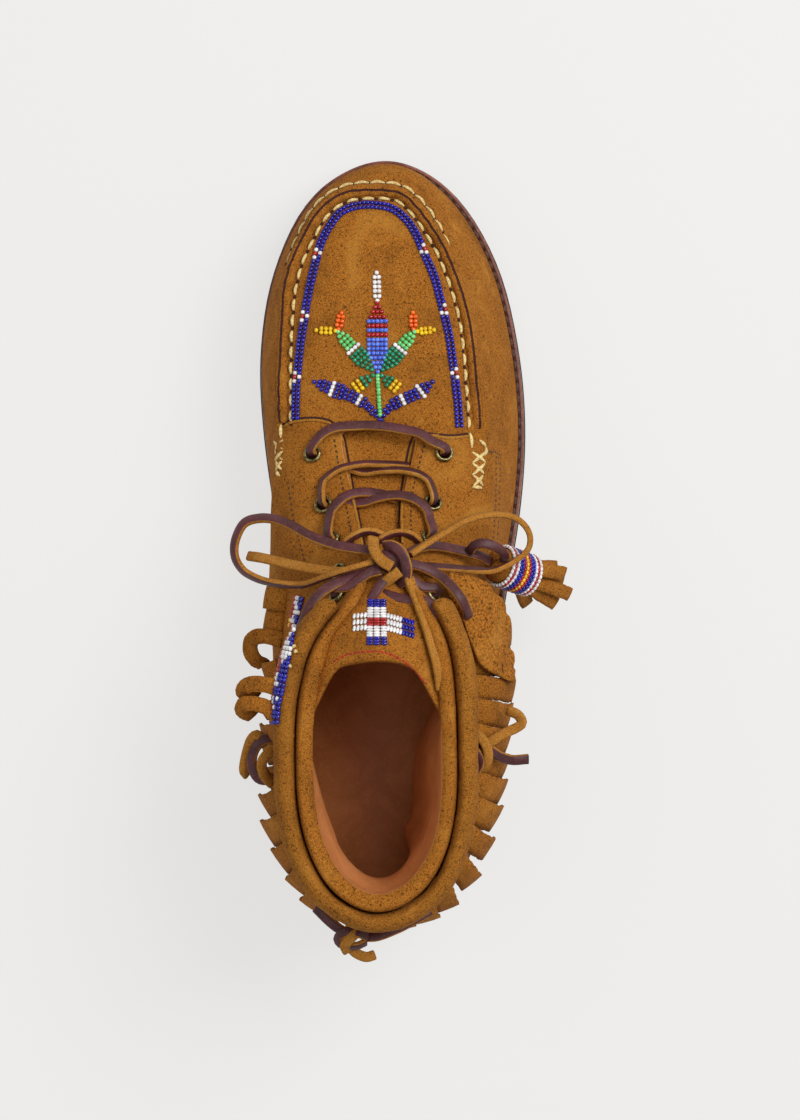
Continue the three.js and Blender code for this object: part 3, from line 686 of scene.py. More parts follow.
@dataclass
class Line:
    """A line on the boot: points with the surface's normal at each."""

    points: list[Vector]
    normals: list[Vector]

    @classmethod
    def seen(cls, pixels: Sequence[Pixel], side: float = 0.0, passes: int = 2) -> "Line":
        """Lays a line of the picture on the boot.

        Args:
            pixels: points of the picture.
            side: how far it is moved to the right of its direction, in pixels. For the
                seam and the border, which run over the toe, this is inwards.
            passes: how often it is evened out.

        Returns:
            The line.
        """
        path = smooth(pixels, 1.5)
        shifted = []
        for i, p in enumerate(path):
            along = direction(path, i)
            shifted.append(EYE.hit(p.x - along.y * side, p.y + along.x * side))
        line = cls([p for p, _ in shifted], [n for _, n in shifted])
        line.settle(passes)
        return line

    def settle(self, passes: int) -> None:
        """Evens out the points and the normals along the line.

        Args:
            passes: how often.
        """
        for _ in range(passes):
            p = self.points
            self.points = [p[0], *[(a + b * 2 + c) / 4 for a, b, c in zip(p, p[1:], p[2:])], p[-1]]
            n = [self.normals[0], *self.normals, self.normals[-1]]
            self.normals = [(a + b * 2 + c).normalized() for a, b, c in zip(n, n[1:], n[2:])]

    def places(self, pitch: float, first: float = 0.5) -> Iterator[Matrix]:
        """Cuts the line into even pitches.

        Args:
            pitch: the length of one, in metres; it is fitted to the line.
            first: where in its pitch each place is.

        Returns:
            A frame for each, X along the line and Z along the normal.
        """
        run = lengths(self.points)
        count = max(1, round(run[-1] / pitch))
        wanted = (run[-1] * (i + first) / count for i in range(count))
        for k, share in stations(run, wanted):
            at = self.points[k].lerp(self.points[k + 1], share)
            low, high = max(0, k - 1), min(len(self.points) - 1, k + 2)
            yield frame_at(at, self.points[high] - self.points[low], self.normals[k])


def frame_at(at: Vector, along: Vector, normal: Vector) -> Matrix:
    """Sets up a frame at a point.

    Args:
        at: the point.
        along: where X points.
        normal: what Z lies near.

    Returns:
        The frame.
    """
    x = along.normalized()
    y = normal.cross(x).normalized()
    z = x.cross(y)
    made = Matrix((x, y, z)).transposed().to_4x4()
    made.translation = at
    return made


def sized(long: float, wide: float, high: float) -> Matrix:
    """Stretches a shape that is 1 along each axis to a size in millimetres."""
    return Matrix.Diagonal((long * MM, wide * MM, high * MM, 1))


def swept(places: Iterable[Matrix], section: Sequence[Pixel]) -> list[list[Vector]]:
    """Carries a section along frames.

    Args:
        places: the frames, X along the line.
        section: each point's place across the line and its height, in millimetres.

    Returns:
        A ring of points for each frame.
    """
    corners = [Vector((0, across, height)) * MM for across, height in section]
    return [[place @ corner for corner in corners] for place in places]


def add_object(name: str, mesh: bpy.types.Mesh, finishes: Sequence[object]) -> bpy.types.Object:
    """Links a mesh as a piece that rides on the boot.

    Args:
        name: the piece's name.
        mesh: its mesh, in the boot's own frame.
        finishes: its finishes, in the order of its material slots.

    Returns:
        The object.
    """
    made = bpy.data.objects.new(name, mesh)
    bpy.context.collection.objects.link(made)
    for finish in finishes:
        mesh.materials.append(SHELF.take(finish))
    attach(made, BODY)
    return made


def mesh_of(name: str, bm: bmesh.types.BMesh) -> bpy.types.Mesh:
    """Turns a bmesh into a smoothly shaded mesh and frees it.

    Args:
        name: the mesh's name.
        bm: the bmesh.

    Returns:
        The mesh.
    """
    for face in bm.faces:
        face.smooth = True
    mesh = bpy.data.meshes.new(name)
    bm.to_mesh(mesh)
    bm.free()
    return mesh


def subdivide(piece: bpy.types.Object, levels: int) -> None:
    """Rounds a piece with a subdivision surface."""
    made = piece.modifiers.new("round", "SUBSURF")
    made.levels = made.render_levels = levels


class Copy:
    """A CAD node's copy, merged and rounded, that stands for the node."""

    # how far two triangles may be from one plane, and from a rectangle, to be joined
    PLANE_DEG = 28
    SHAPE_DEG = 65

    def __init__(self, node: str, crease_deg: float = 32, crease: float = 0.85) -> None:
        """Merges the node's triangles into faces and marks its edges.

        Args:
            node: the CAD node.
            crease_deg: the angle from which an edge stays sharp.
            crease: how sharp it stays.
        """
        self.node = node
        self.bm = bmesh.new()
        self.bm.from_mesh(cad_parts[node].data)
        bmesh.ops.remove_doubles(self.bm, verts=self.bm.verts, dist=SAME_POINT)
        bmesh.ops.join_triangles(
            self.bm,
            faces=self.bm.faces,
            angle_face_threshold=math.radians(self.PLANE_DEG),
            angle_shape_threshold=math.radians(self.SHAPE_DEG),
        )
        layer = self.bm.edges.layers.float.new("crease_edge")
        for edge in self.bm.edges:
            if len(edge.link_faces) == 2 and edge.calc_face_angle(0) > math.radians(crease_deg):
                edge[layer] = crease

    def piece(self, name: str, finishes: Sequence[object], slot: str, levels: int) -> bpy.types.Object:
        """Makes the piece.

        Args:
            name: its name.
            finishes: its finishes.
            slot: not used.
            levels: how often it is subdivided.

        Returns:
            The object.
        """
        made = add_object(name, mesh_of(name, self.bm), finishes)
        subdivide(made, levels)
        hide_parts(self.node)
        return made


def bake(piece: bpy.types.Object) -> None:
    """Applies a piece's modifiers to its mesh.

    Args:
        piece: the piece.
    """
    graph = bpy.context.evaluated_depsgraph_get()
    mesh = bpy.data.meshes.new_from_object(piece.evaluated_get(graph), depsgraph=graph)
    piece.modifiers.clear()
    piece.data = mesh


class Scatter:
    """Many copies of one small shape, joined as one mesh."""

    def __init__(self, name: str, shape: bmesh.types.BMesh) -> None:
        """Keeps the shape's corners and faces.

        Args:
            name: the joined piece's name.
            shape: the shape, which is freed.
        """
        self.name = name
        shape.verts.ensure_lookup_table()
        self.corners = np.array([v.co for v in shape.verts])
        self.faces = [[v.index for v in face.verts] for face in shape.faces]
        shape.free()
        self.frames: list[np.ndarray] = []
        self.kinds: list[object] = []

    def add(self, place: Matrix, kind: object) -> None:
        """Puts a copy at a frame, in a finish."""
        self.frames.append(np.array(place))
        self.kinds.append(kind)

    def piece(self) -> bpy.types.Object:
        """Joins the copies into a piece.

        Returns:
            The piece.
        """
        finishes = list(dict.fromkeys(self.kinds))
        count = len(self.corners)
        corners = np.concatenate([self.corners @ f[:3, :3].T + f[:3, 3] for f in self.frames])
        faces = [[c + i * count for c in face] for i in range(len(self.frames)) for face in self.faces]
        mesh = bpy.data.meshes.new(self.name)
        mesh.from_pydata(corners.tolist(), [], faces)
        mesh.polygons.foreach_set("use_smooth", np.ones(len(faces), bool))
        kinds = [finishes.index(kind) for kind in self.kinds for _ in self.faces]
        made = add_object(self.name, mesh, finishes)
        mesh.polygons.foreach_set("material_index", kinds)
        return made


def ball(rings: int) -> bmesh.types.BMesh:
    """Makes a ball 1 across with its poles on X.

    Args:
        rings: its rows of faces from pole to pole.

    Returns:
        The ball.
    """
    bm = bmesh.new()
    bmesh.ops.create_uvsphere(bm, u_segments=8, v_segments=rings, radius=0.5)
    turn = Matrix.Rotation(math.pi / 2, 3, "Y")
    bmesh.ops.rotate(bm, verts=bm.verts, cent=(0, 0, 0), matrix=turn)
    return bm


def bead_shape() -> bmesh.types.BMesh:
    """Makes a round seed bead 1 wide, with flat ends and its hole along X.

    Returns:
        The shape.
    """
    bm = ball(6)
    for v in bm.verts:
        v.co.x = math.copysign(min(abs(v.co.x), 0.4), v.co.x)
    return bm


def stitch_shape(arch: float, bow: float = 0.0) -> bmesh.types.BMesh:
    """A stitch 1 long and 1 thick that dips at its ends.

    Args:
        arch: how far its ends lie below its middle.
        bow: how far its ends lie to its right.

    Returns:
        The shape, along X.
    """
    bm = ball(8)
    for v in bm.verts:
        v.co.z -= arch * (2 * v.co.x) ** 2
        v.co.y -= bow * (2 * v.co.x) ** 2
    return bm


class Tubes:
    """Closed tubes, each over its own rings of points, joined as one mesh."""

    def __init__(self) -> None:
        """Starts with none."""
        self.bm = bmesh.new()

    def add(
        self, rings: Sequence[Sequence[Vector]], kind: Callable[[int, int], int] = lambda i, j: 0
    ) -> None:
        """Wraps a grid round the rings and closes its ends.

        Args:
            rings: the points of each ring, all with the same number.
            kind: the finish of a face, from its ring and its place in the ring.
        """
        along, around = len(rings) - 1, len(rings[0])
        grid = bmesh.ops.create_grid(self.bm, x_segments=along, y_segments=around, size=0.5)["verts"]
        for face in {face for v in grid for face in v.link_faces}:
            c = face.calc_center_median()
            face.material_index = kind(int((c.x + 0.5) * along), int((c.y + 0.5) * around))
        for v in grid:
            v.co = rings[round((v.co.x + 0.5) * along)][round((v.co.y + 0.5) * around) % around]
        bmesh.ops.remove_doubles(self.bm, verts=grid, dist=1e-7)
        ends = {e for v in grid if v.is_valid for e in v.link_edges if e.is_boundary}
        bmesh.ops.holes_fill(self.bm, edges=list(ends), sides=0)

    def piece(self, name: str, finishes: Sequence[object]) -> bpy.types.Object:
        """Makes the piece, its faces outwards."""
        bmesh.ops.recalc_face_normals(self.bm, faces=self.bm.faces)
        return add_object(name, mesh_of(name, self.bm), finishes)


# The lace's section from the middle of its grain side round its edge, in shares of width and thickness
LACE_SECTION = [
    (0.0, 0.5), (-0.3, 0.48), (-0.46, 0.36), (-0.5, 0.1), (-0.48, -0.3), (-0.34, -0.48), (0.0, -0.5),
    (0.34, -0.48), (0.48, -0.3), (0.5, 0.1), (0.46, 0.36), (0.3, 0.48),
]
# Which of the section's sides are grain
GRAIN_FACES = {0, 1, 10, 11}


@dataclass
class Lace:
    """A flat strip of lace leather, grain on one face and flesh on the other."""

    name: str
    route: Sequence[Point]
    roll: Sequence[float] = (0.0,)
    width: float = 3.8
    thick: float = 2.2
    replaces: str = ""
    free: bool = True
    far_end: str = "bare"
    step: float = 1.1
    uneven: float = 0.05

    def build(self) -> bpy.types.Object:
        """Draws the strip along its route.

        Returns:
            The piece.
        """
        centres = smooth([Vector(p) * MM for p in self.route], self.step * MM)
        rings = []
        for i, centre in enumerate(centres):
            along = direction(centres, i)
            side = along.cross(UP).normalized()
            up = side.cross(along)
            turn = Matrix.Rotation(math.radians(self._roll(i / (len(centres) - 1))), 3, along)
            side, up = turn @ side, turn @ up
            wide = self.width * (1 + self.uneven * noise.noise(centre * 260))
            section = [(a * wide * MM, b * self.thick * MM) for a, b in LACE_SECTION]
            rings.append([centre + side * a + up * b for a, b in section])
        strip = Tubes()
        strip.add(rings, lambda i, j: int(j in GRAIN_FACES))
        made = strip.piece(self.name, (FLESH_SIDE, GRAIN_SIDE))
        if self.replaces:
            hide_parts(self.replaces)
        if self.free:
            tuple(centres[0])
            round(lengths(centres)[-1], 4)
            self.width * MM
        return made

    def _roll(self, share: float) -> float:
        """Finds how far the strip is turned about its own line.

        Args:
            share: how far along its length, from 0 to 1.

        Returns:
            The turn in degrees.
        """
        if len(self.roll) == 1:
            return self.roll[0]
        at = share * (len(self.roll) - 1)
        low = min(int(at), len(self.roll) - 2)
        return self.roll[low] + (self.roll[low + 1] - self.roll[low]) * (at - low)


@dataclass
class Bow:
    """The bow: two loops, an end and the tassel's lead, in millimetres as the solids lie."""

    left: Sequence[Point] = (
        (-0.8, 102.6, 101.5), (-13.8, 104.6, 97.5), (-24.2, 108.1, 92.9), (-32.2, 112.4, 87.8),
        (-38.5, 114.7, 83.0), (-44.6, 115.1, 78.9), (-50.1, 113.3, 75.8), (-53.3, 107.7, 73.9),
        (-54.0, 102.2, 73.0), (-52.5, 97.8, 73.4), (-48.7, 94.1, 76.2), (-40.8, 91.1, 81.4),
        (-28.6, 90.0, 89.0), (-19.8, 92.8, 98.0), (-10.7, 96.0, 106.0), (-1.2, 98.8, 103.8),
    )
    right: Sequence[Point] = (
        (12.3, 101.2, 103.5), (17.5, 104.7, 99.8), (24.2, 108.9, 95.7), (32.4, 113.6, 91.3),
        (38.7, 115.8, 87.3), (45.3, 116.5, 83.8), (51.9, 115.4, 80.9), (56.3, 111.9, 78.8),
        (58.0, 107.5, 78.1), (56.8, 102.9, 78.8), (51.9, 98.9, 81.0), (46.8, 96.5, 84.1),
        (41.9, 95.4, 88.0), (34.1, 95.8, 92.6), (24.2, 96.6, 97.6), (12.3, 97.3, 102.7),
    )
    end: Sequence[Point] = (
        (-3.6, 95.7, 103.5), (-7.7, 95.1, 102.9), (-12.8, 94.9, 99.0), (-19.1, 95.3, 93.2),
        (-28.6, 96.9, 86.6), (-36.9, 98.7, 80.8), (-43.6, 100.2, 76.3), (-48.6, 100.9, 70.8),
    )
    lead: Sequence[Point] = (
        (11.9, 101.7, 100.3), (15.7, 103.6, 94.1), (19.8, 104.5, 89.0), (24.2, 104.3, 84.8),
        (29.5, 103.4, 81.7), (34.4, 102.2, 79.6), (38.7, 100.9, 77.9), (43.0, 98.8, 73.8),
    )

    def build(self) -> None:
        """Lays the four strips."""
        for name, route, roll, far_end in (
            ("bow_loop_left", self.left, (30, 30, 40, 60, 75, 100), "object"),
            ("bow_loop_right", self.right, (105, 105, 100, 95, 62, 50), "object"),
            ("lace_end_left", self.end, (200, 200, 195), "bare"),
            ("lace_lead_right", self.lead, (-25, -30, -25), "object"),
        ):
            Lace(name + "_lace", route, roll, replaces=name, far_end=far_end).build()


@dataclass
class Sole:
    """Outsole, heel, midsole, welt with its stitching, and insole.

    The places along it are shares of its length and the rest is in millimetres.
    """

    length: float = 299.0
    heel_centre: float = 0.14
    heel_front: float = 0.235
    shank_front: float = 0.56
    spring_from: float = 0.76
    spring: float = 9.0
    lift: float = 12.0
    welt_top: float = 12.6
    middle: tuple[float, float] = (5, 107)
    edge_points: int = 420
    stitch_pitch: float = 4.5
    stitch_inset: float = 2.0
    stitch_size: Point = (3.9, 1.9, 1.4)
    # width of the dark strip of painted shade along the welt's channel
    groove: float = 1.9

    def build(self) -> list[bpy.types.Object]:
        """Dresses the sole's solids.

        Returns:
            The welt and the insole, which others are laid on.
        """
        Copy("outsole").piece("outsole_dressed", (OUTSOLE_RUBBER,), "rubber", 1)
        Copy("heel").piece("heel_dressed", (OUTSOLE_RUBBER,), "rubber", 1)
        Copy("midsole").piece("midsole_dressed", (CREPE,), "crepe", 1)
        welt = Copy("welt").piece("welt_dressed", (WELT_LEATHER,), "welt_leather", 2)
        insole = Copy("insole").piece("insole_dressed", (SOCK,), "insole_leather", 1)
        self._stitch(self._edge(welt))
        return [welt, insole]

    def rise(self, y: float) -> float:
        """Finds how far the outsole stands off the floor.

        Args:
            y: the place along the boot, in millimetres.

        Returns:
            The height in millimetres.
        """
        shares = (self.shank_front, self.heel_front, self.spring_from, 1)
        front, back, spring, tip = ((share - self.heel_centre) * self.length for share in shares)
        toe = max(0.0, (y - spring) / (tip - spring))
        return self.lift * ramp(y, front, back) + self.spring * toe * toe

    def _edge(self, welt: bpy.types.Object) -> list[Vector]:
        """Follows the welt's outer edge as it would be with the sole laid flat.

        Args:
            welt: the dressed welt.

        Returns:
            Points round the edge, anticlockwise from above.
        """
        level = welt.evaluated_get(bpy.context.evaluated_depsgraph_get()).to_mesh()
        corners = [v.co - UP * self.rise(v.co.y / MM) * MM for v in level.vertices]
        tree = BVHTree.FromPolygons(corners, [face.vertices[:] for face in level.polygons])
        centre = Vector((*self.middle, self.welt_top - 1.5)) * MM
        edge = []
        for i in range(self.edge_points):
            turn = math.tau * i / self.edge_points
            out = Vector((math.cos(turn), math.sin(turn), 0))
            edge.append(tree.ray_cast(centre + out * 0.3, -out)[0])
        return [p for p in edge if p is not None]

    def _stitch(self, edge: Sequence[Vector]) -> None:
        """Sews the welt with a row of thick stitches, over a dark strip that paints the shade of their
        channel.

        Args:
            edge: points round the welt's outer edge.
        """
        top = []
        for i, p in enumerate(edge):
            along = (edge[(i + 1) % len(edge)] - edge[i - 1]).normalized()
            q = p + Vector((-along.y, along.x, 0)) * (self.stitch_inset * MM)
            q.z = (self.rise(q.y / MM) + self.welt_top + 0.1) * MM
            top.append(q)
        line = Line([*top, top[0]], [UP.copy() for _ in range(len(top) + 1)])
        row = Scatter("welt_stitches", stitch_shape(0.15))
        for place in line.places(self.stitch_pitch * MM):
            row.add(place @ sized(*self.stitch_size), BROWN_THREAD)
        row.piece()
        # A dark strip under the stitches: painted shade of the channel, which is not cut into the welt.
        half = self.groove / 2
        section = ((-half, -0.4), (half, -0.4), (half, 0.12), (-half, 0.12))
        rings = swept(line.places(1.5 * MM), section)
        channel = Tubes()
        channel.add([*rings, rings[0]])
        channel.piece("welt_channel_shade", (SEAM_EDGE_AND_SHADE,))


@dataclass
class Upper:
    """The hollow suede upper with its lining, the tongue and the collar's roll."""

    sole: Sole
    seam: Sequence[Pixel] = (
        (281, 424), (281, 400), (281, 364), (282, 330), (285, 293), (291, 266), (297, 250), (305, 234),
        (314, 217), (325, 204), (338, 195), (352, 190), (370, 188.5), (388, 189), (403, 193),
        (418, 206), (432, 225), (446, 249), (458, 279), (465, 302), (470, 324), (474, 356), (476, 385),
        (478, 408), (479, 430),
    )
    ridge: Sequence[tuple[float, float]] = (
        (-2.2, -1.2), (-1.75, 0.4), (-1.25, 1.7), (-0.6, 2.35), (-0.15, 2.0), (0.25, 2.4), (1.1, 2.5),
        (2.1, 2.1), (2.8, 1.3), (3.15, 0.3), (3.2, -0.9),
    )
    stitch: float = 6.1
    # rows of stitches and of dark dots of painted shade between them, in pixels inside the seam, and the
    # part of it that shows its outer row
    inner_row: float = 10.4
    outer_row: float = -5.2
    outer_shade_dots: float = -5.6
    toe: tuple[int, int] = (5, 18)
    inner_stitch: Point = (4.8, 1.4, 1.4)
    # size of each dark dot of painted shade where a stitch goes in
    hole: Point = (1.9, 1.5, 0.7)
    draw_in: float = 2.7
    # how far the lining sags towards the middle, and how far the rim rolls in: inner side, outer side, heel
    sag: Point = (9.5, 21.0, 6.5)
    roll_in: Point = (2.6, 1.8, 3.4)
    middle_line: float = 55.0
    rim: float = 117.0
    groove_from: float = 106.0
    rim_drop: float = 2.6
    roll_drop: float = 4.0

    def build(self) -> list[bpy.types.Object]:
        """Dresses the upper's solids.

        Returns:
            The pieces that others are laid on.
        """
        shell = Copy("upper", 34, 0.6)
        for face in shell.bm.faces:
            c = face.calc_center_median() / MM
            core = Vector((0.03 * max(0.0, c.y), min(195.0, max(5.0, c.y)), 32))
            face.material_index = int(face.normal.dot(c - core) < 0)
        upper = shell.piece("upper_dressed", (SUEDE, LINING), "suede", 2)
        bake(upper)
        self._ease(upper)
        tongue = Copy("tongue", 34, 0.6).piece("tongue_dressed", (SUEDE,), "suede", 2)
        bake(tongue)
        self._round(tongue)
        roll = Copy("collar_roll", 60, 0.5).piece("collar_roll_dressed", (SUEDE_ROLL,), "suede", 2)
        bake(roll)
        self._sink(upper, roll)
        for v in roll.data.vertices:
            broad = noise.noise_vector(v.co * 55) * 0.7 * MM
            v.co += broad + noise.noise_vector(v.co * 190) * 0.3 * MM
        return [upper, tongue, roll]

    def _sink(self, upper: bpy.types.Object, roll: bpy.types.Object) -> None:
        """Rounds off both sides of the groove between the rim and the roll.

        Args:
            upper: the dressed upper.
            roll: the collar's roll.
        """
        graph = bpy.context.evaluated_depsgraph_get()
        trees = [BVHTree.FromObject(piece, graph) for piece in (upper, roll)]
        for piece, tree, drop in ((upper, trees[1], self.rim_drop), (roll, trees[0], self.roll_drop)):
            for v in piece.data.vertices:
                if v.co.z > self.groove_from * MM:
                    near = tree.find_nearest(v.co)[3] / MM
                    v.co.z -= drop * ramp(near, 2.8, 0.0) * MM

    def _ease(self, upper: bpy.types.Object) -> None:
        """Draws the wall in over the welt on the outer side, and lets the lining sag round the heel.

        Args:
            upper: the dressed upper.
        """
        lined = {i for face in upper.data.polygons if face.material_index == 1 for i in face.vertices}
        for v in upper.data.vertices:
            p = v.co / MM
            over = p.z - self.sole.rise(p.y)
            v.co.x -= self.draw_in * ramp(p.x, 6, 40) * ramp(p.z, 56, 34) * ramp(over, 13, 21) * MM
            v.co += noise.noise_vector(v.co * 30) * 0.5 * ramp(p.z, 30, 50) * MM
            if v.index in lined:
                v.co += self._sagged(p) * (ramp(over, 15, 26) * MM)

    def _sagged(self, p: Vector) -> Vector:
        """Finds how far the lining has sagged at a point.

        Args:
            p: the point, in millimetres.

        Returns:
            The way that it has gone, in millimetres.
        """
        towards = Vector((-p.x, min(self.middle_line, max(0.0, p.y)) - p.y, 0))
        if towards.length < 1:
            return Vector((0, 0, 0))
        towards.normalize()
        brim = ramp(p.z, self.rim, 84)
        slope = min(1.0, max(0.0, (self.rim - p.z) / 80))
        sides = (max(0.0, towards.x), max(0.0, -towards.x), max(0.0, towards.y))
        share = Vector([side**2 for side in sides])
        depth = Vector((brim * ramp(p.y, 60, -10), slope * ramp(p.y, 75, 20), brim))
        rolled = share.dot(Vector(self.roll_in)) * ramp(p.y, 88, 62)
        sag = sum(s * d * w for s, d, w in zip(self.sag, depth, share))
        turn = math.atan2(towards.y, towards.x)
        fold = 1 + 0.07 * math.sin(5 * turn + 0.03 * p.z) * ramp(p.z, 116, 96)
        return towards * (rolled + sag * fold)

    def _round(self, tongue: bpy.types.Object) -> None:
        """Rounds the arch of the tongue's top edge, which stands a little higher at each side.

        Args:
            tongue: the dressed tongue.
        """
        for v in tongue.data.vertices:
            p = v.co / MM
            left = math.exp(-(((p.x + 15) / 8) ** 2)) * 3.4
            right = math.exp(-(((p.x - 13) / 8) ** 2)) * 1.6
            corner = 9.0 * ramp(abs(p.x), 13, 25)
            v.co.y += (2.4 + left + right - corner) * ramp(p.y, 84, 60) * MM

    def sew(self) -> None:
        """Raises the puckered seam and sews a row of stitches on each side of it."""
        self._pucker()
        over_toe = self.seam[self.toe[0] : self.toe[1]]
        groove = Line.seen(self.seam, self.inner_row)
        inner = Scatter("seam_stitches_inner", stitch_shape(0.45))
        for place in groove.places(self.stitch * MM):
            raised = place @ Matrix.Translation((0, 0, 0.6 * MM))
            inner.add(raised @ sized(*self.inner_stitch), CREAM_THREAD)
        inner.piece()
        # Dark dots of painted shade between the stitches, where the puckers fall into shade.
        shade_dots = Scatter("seam_shade_dots", bead_shape())
        for line in (groove, Line.seen(over_toe, self.outer_shade_dots)):
            for place in line.places(self.stitch * MM, 0.0):
                shade_dots.add(place @ sized(*self.hole), SEAM_EDGE_AND_SHADE)
        shade_dots.piece()
        outer = Scatter("seam_stitches_outer", stitch_shape(0.3, 0.42))
        places = list(Line.seen(over_toe, self.outer_row).places(self.stitch * MM))
        for i, place in enumerate(places):
            toe = ramp(abs(i / len(places) - 0.48), 0.5, 0.34)
            thick = 0.75 + 0.6 * toe
            raised = place @ Matrix.Translation((0, 0.45 * toe * MM, (0.1 + 0.35 * toe) * MM))
            outer.add(raised @ sized(5.0 + 1.1 * toe, thick, thick * 0.9), CREAM_THREAD)
        outer.piece()

    def _pucker(self) -> None:
        """Raises the seam's ridge, which swells between the stitches and dies away at its ends."""
        step = 0.7
        places = list(Line.seen(self.seam, passes=10).places(step * MM))
        rings = []
        for i, place in enumerate(places):
            swell = math.cos(math.tau * i * step / self.stitch)
            high = min(1.0, (i + 1) / 5, (len(places) - i) / 5) * (1 + 0.16 * swell)
            section = [(-across * (1 + 0.05 * swell), height * high) for across, height in self.ridge]
            rings += swept([place], section)
        ridge = Tubes()
        # The faces in the dip between the crest's two lobes take the dark finish: the raw edge's own colour,
        # with painted shade in the dip.
        ridge.add(rings, lambda i, j: int(j in (3, 4)))
        subdivide(ridge.piece("moccasin_seam", (SUEDE, SEAM_EDGE_AND_SHADE)), 1)


@dataclass
class Hardware:
    """The ten brass eyelets, each where its solid is."""

    bore: float = 2.2
    flange: float = 3.6
    shank: float = 3.1
    cuts: int = 28

    def seat(self, node: str) -> Matrix:
        """Finds where an eyelet is and how it is turned, from the points of its solid.

        Args:
            node: the CAD node.

        Returns:
            The frame at the middle of its rim, Z out of the leather.
        """
        co = np.array([v.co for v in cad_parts[node].data.vertices])
        middle = co.mean(0)
        _, axes = np.linalg.eigh(np.cov((co - middle).T))
        axis = Vector(axes[:, 0])
        axis = axis if axis.z > 0 else -axis
        heights = [(Vector(c) - Vector(middle)).dot(axis) for c in co]
        top = max(heights) - 0.3 * MM
        rim = [Vector(c) for c, height in zip(co, heights) if height > top]
        return frame_at(sum(rim, Vector()) / len(rim), axis.orthogonal(), axis)

    def build(self) -> None:
        """Turns each eyelet with a rolled rim."""
        for side in ("outer", "inner"):
            for i in range(1, 6):
                self._turn(f"eyelet_{side}_{i}")

    def _turn(self, node: str) -> None:
        """Spins the rim's section round the eyelet's axis.

        Args:
            node: the CAD node.
        """
        b, f = self.bore, self.flange
        rim = [(b, -0.5), (b + 0.15, 0.0), (b + 0.55, 0.25), (f - 0.45, 0.12), (f - 0.05, -0.3), (f, -0.7)]
        section = [(b, -self.shank), *rim, (b + 0.3, -0.8), (b + 0.3, -self.shank)]
        bm = bmesh.new()
        ring = [bm.verts.new(Vector((r, 0, z)) * MM) for r, z in section]
        edges = [bm.edges.new((p, q)) for p, q in zip(ring, ring[1:] + ring[:1])]
        bmesh.ops.spin(
            bm,
            geom=ring + edges,
            cent=(0, 0, 0),
            axis=(0, 0, 1),
            angle=math.tau,
            steps=self.cuts,
            use_merge=True,
            use_duplicate=False,
        )
        bmesh.ops.remove_doubles(bm, verts=bm.verts, dist=0.00001)
        bmesh.ops.transform(bm, matrix=self.seat(node), verts=bm.verts)
        bmesh.ops.recalc_face_normals(bm, faces=bm.faces)
        made = add_object(node + "_brass", mesh_of(node, bm), (Brass(),))
        subdivide(made, 1)
        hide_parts(node)


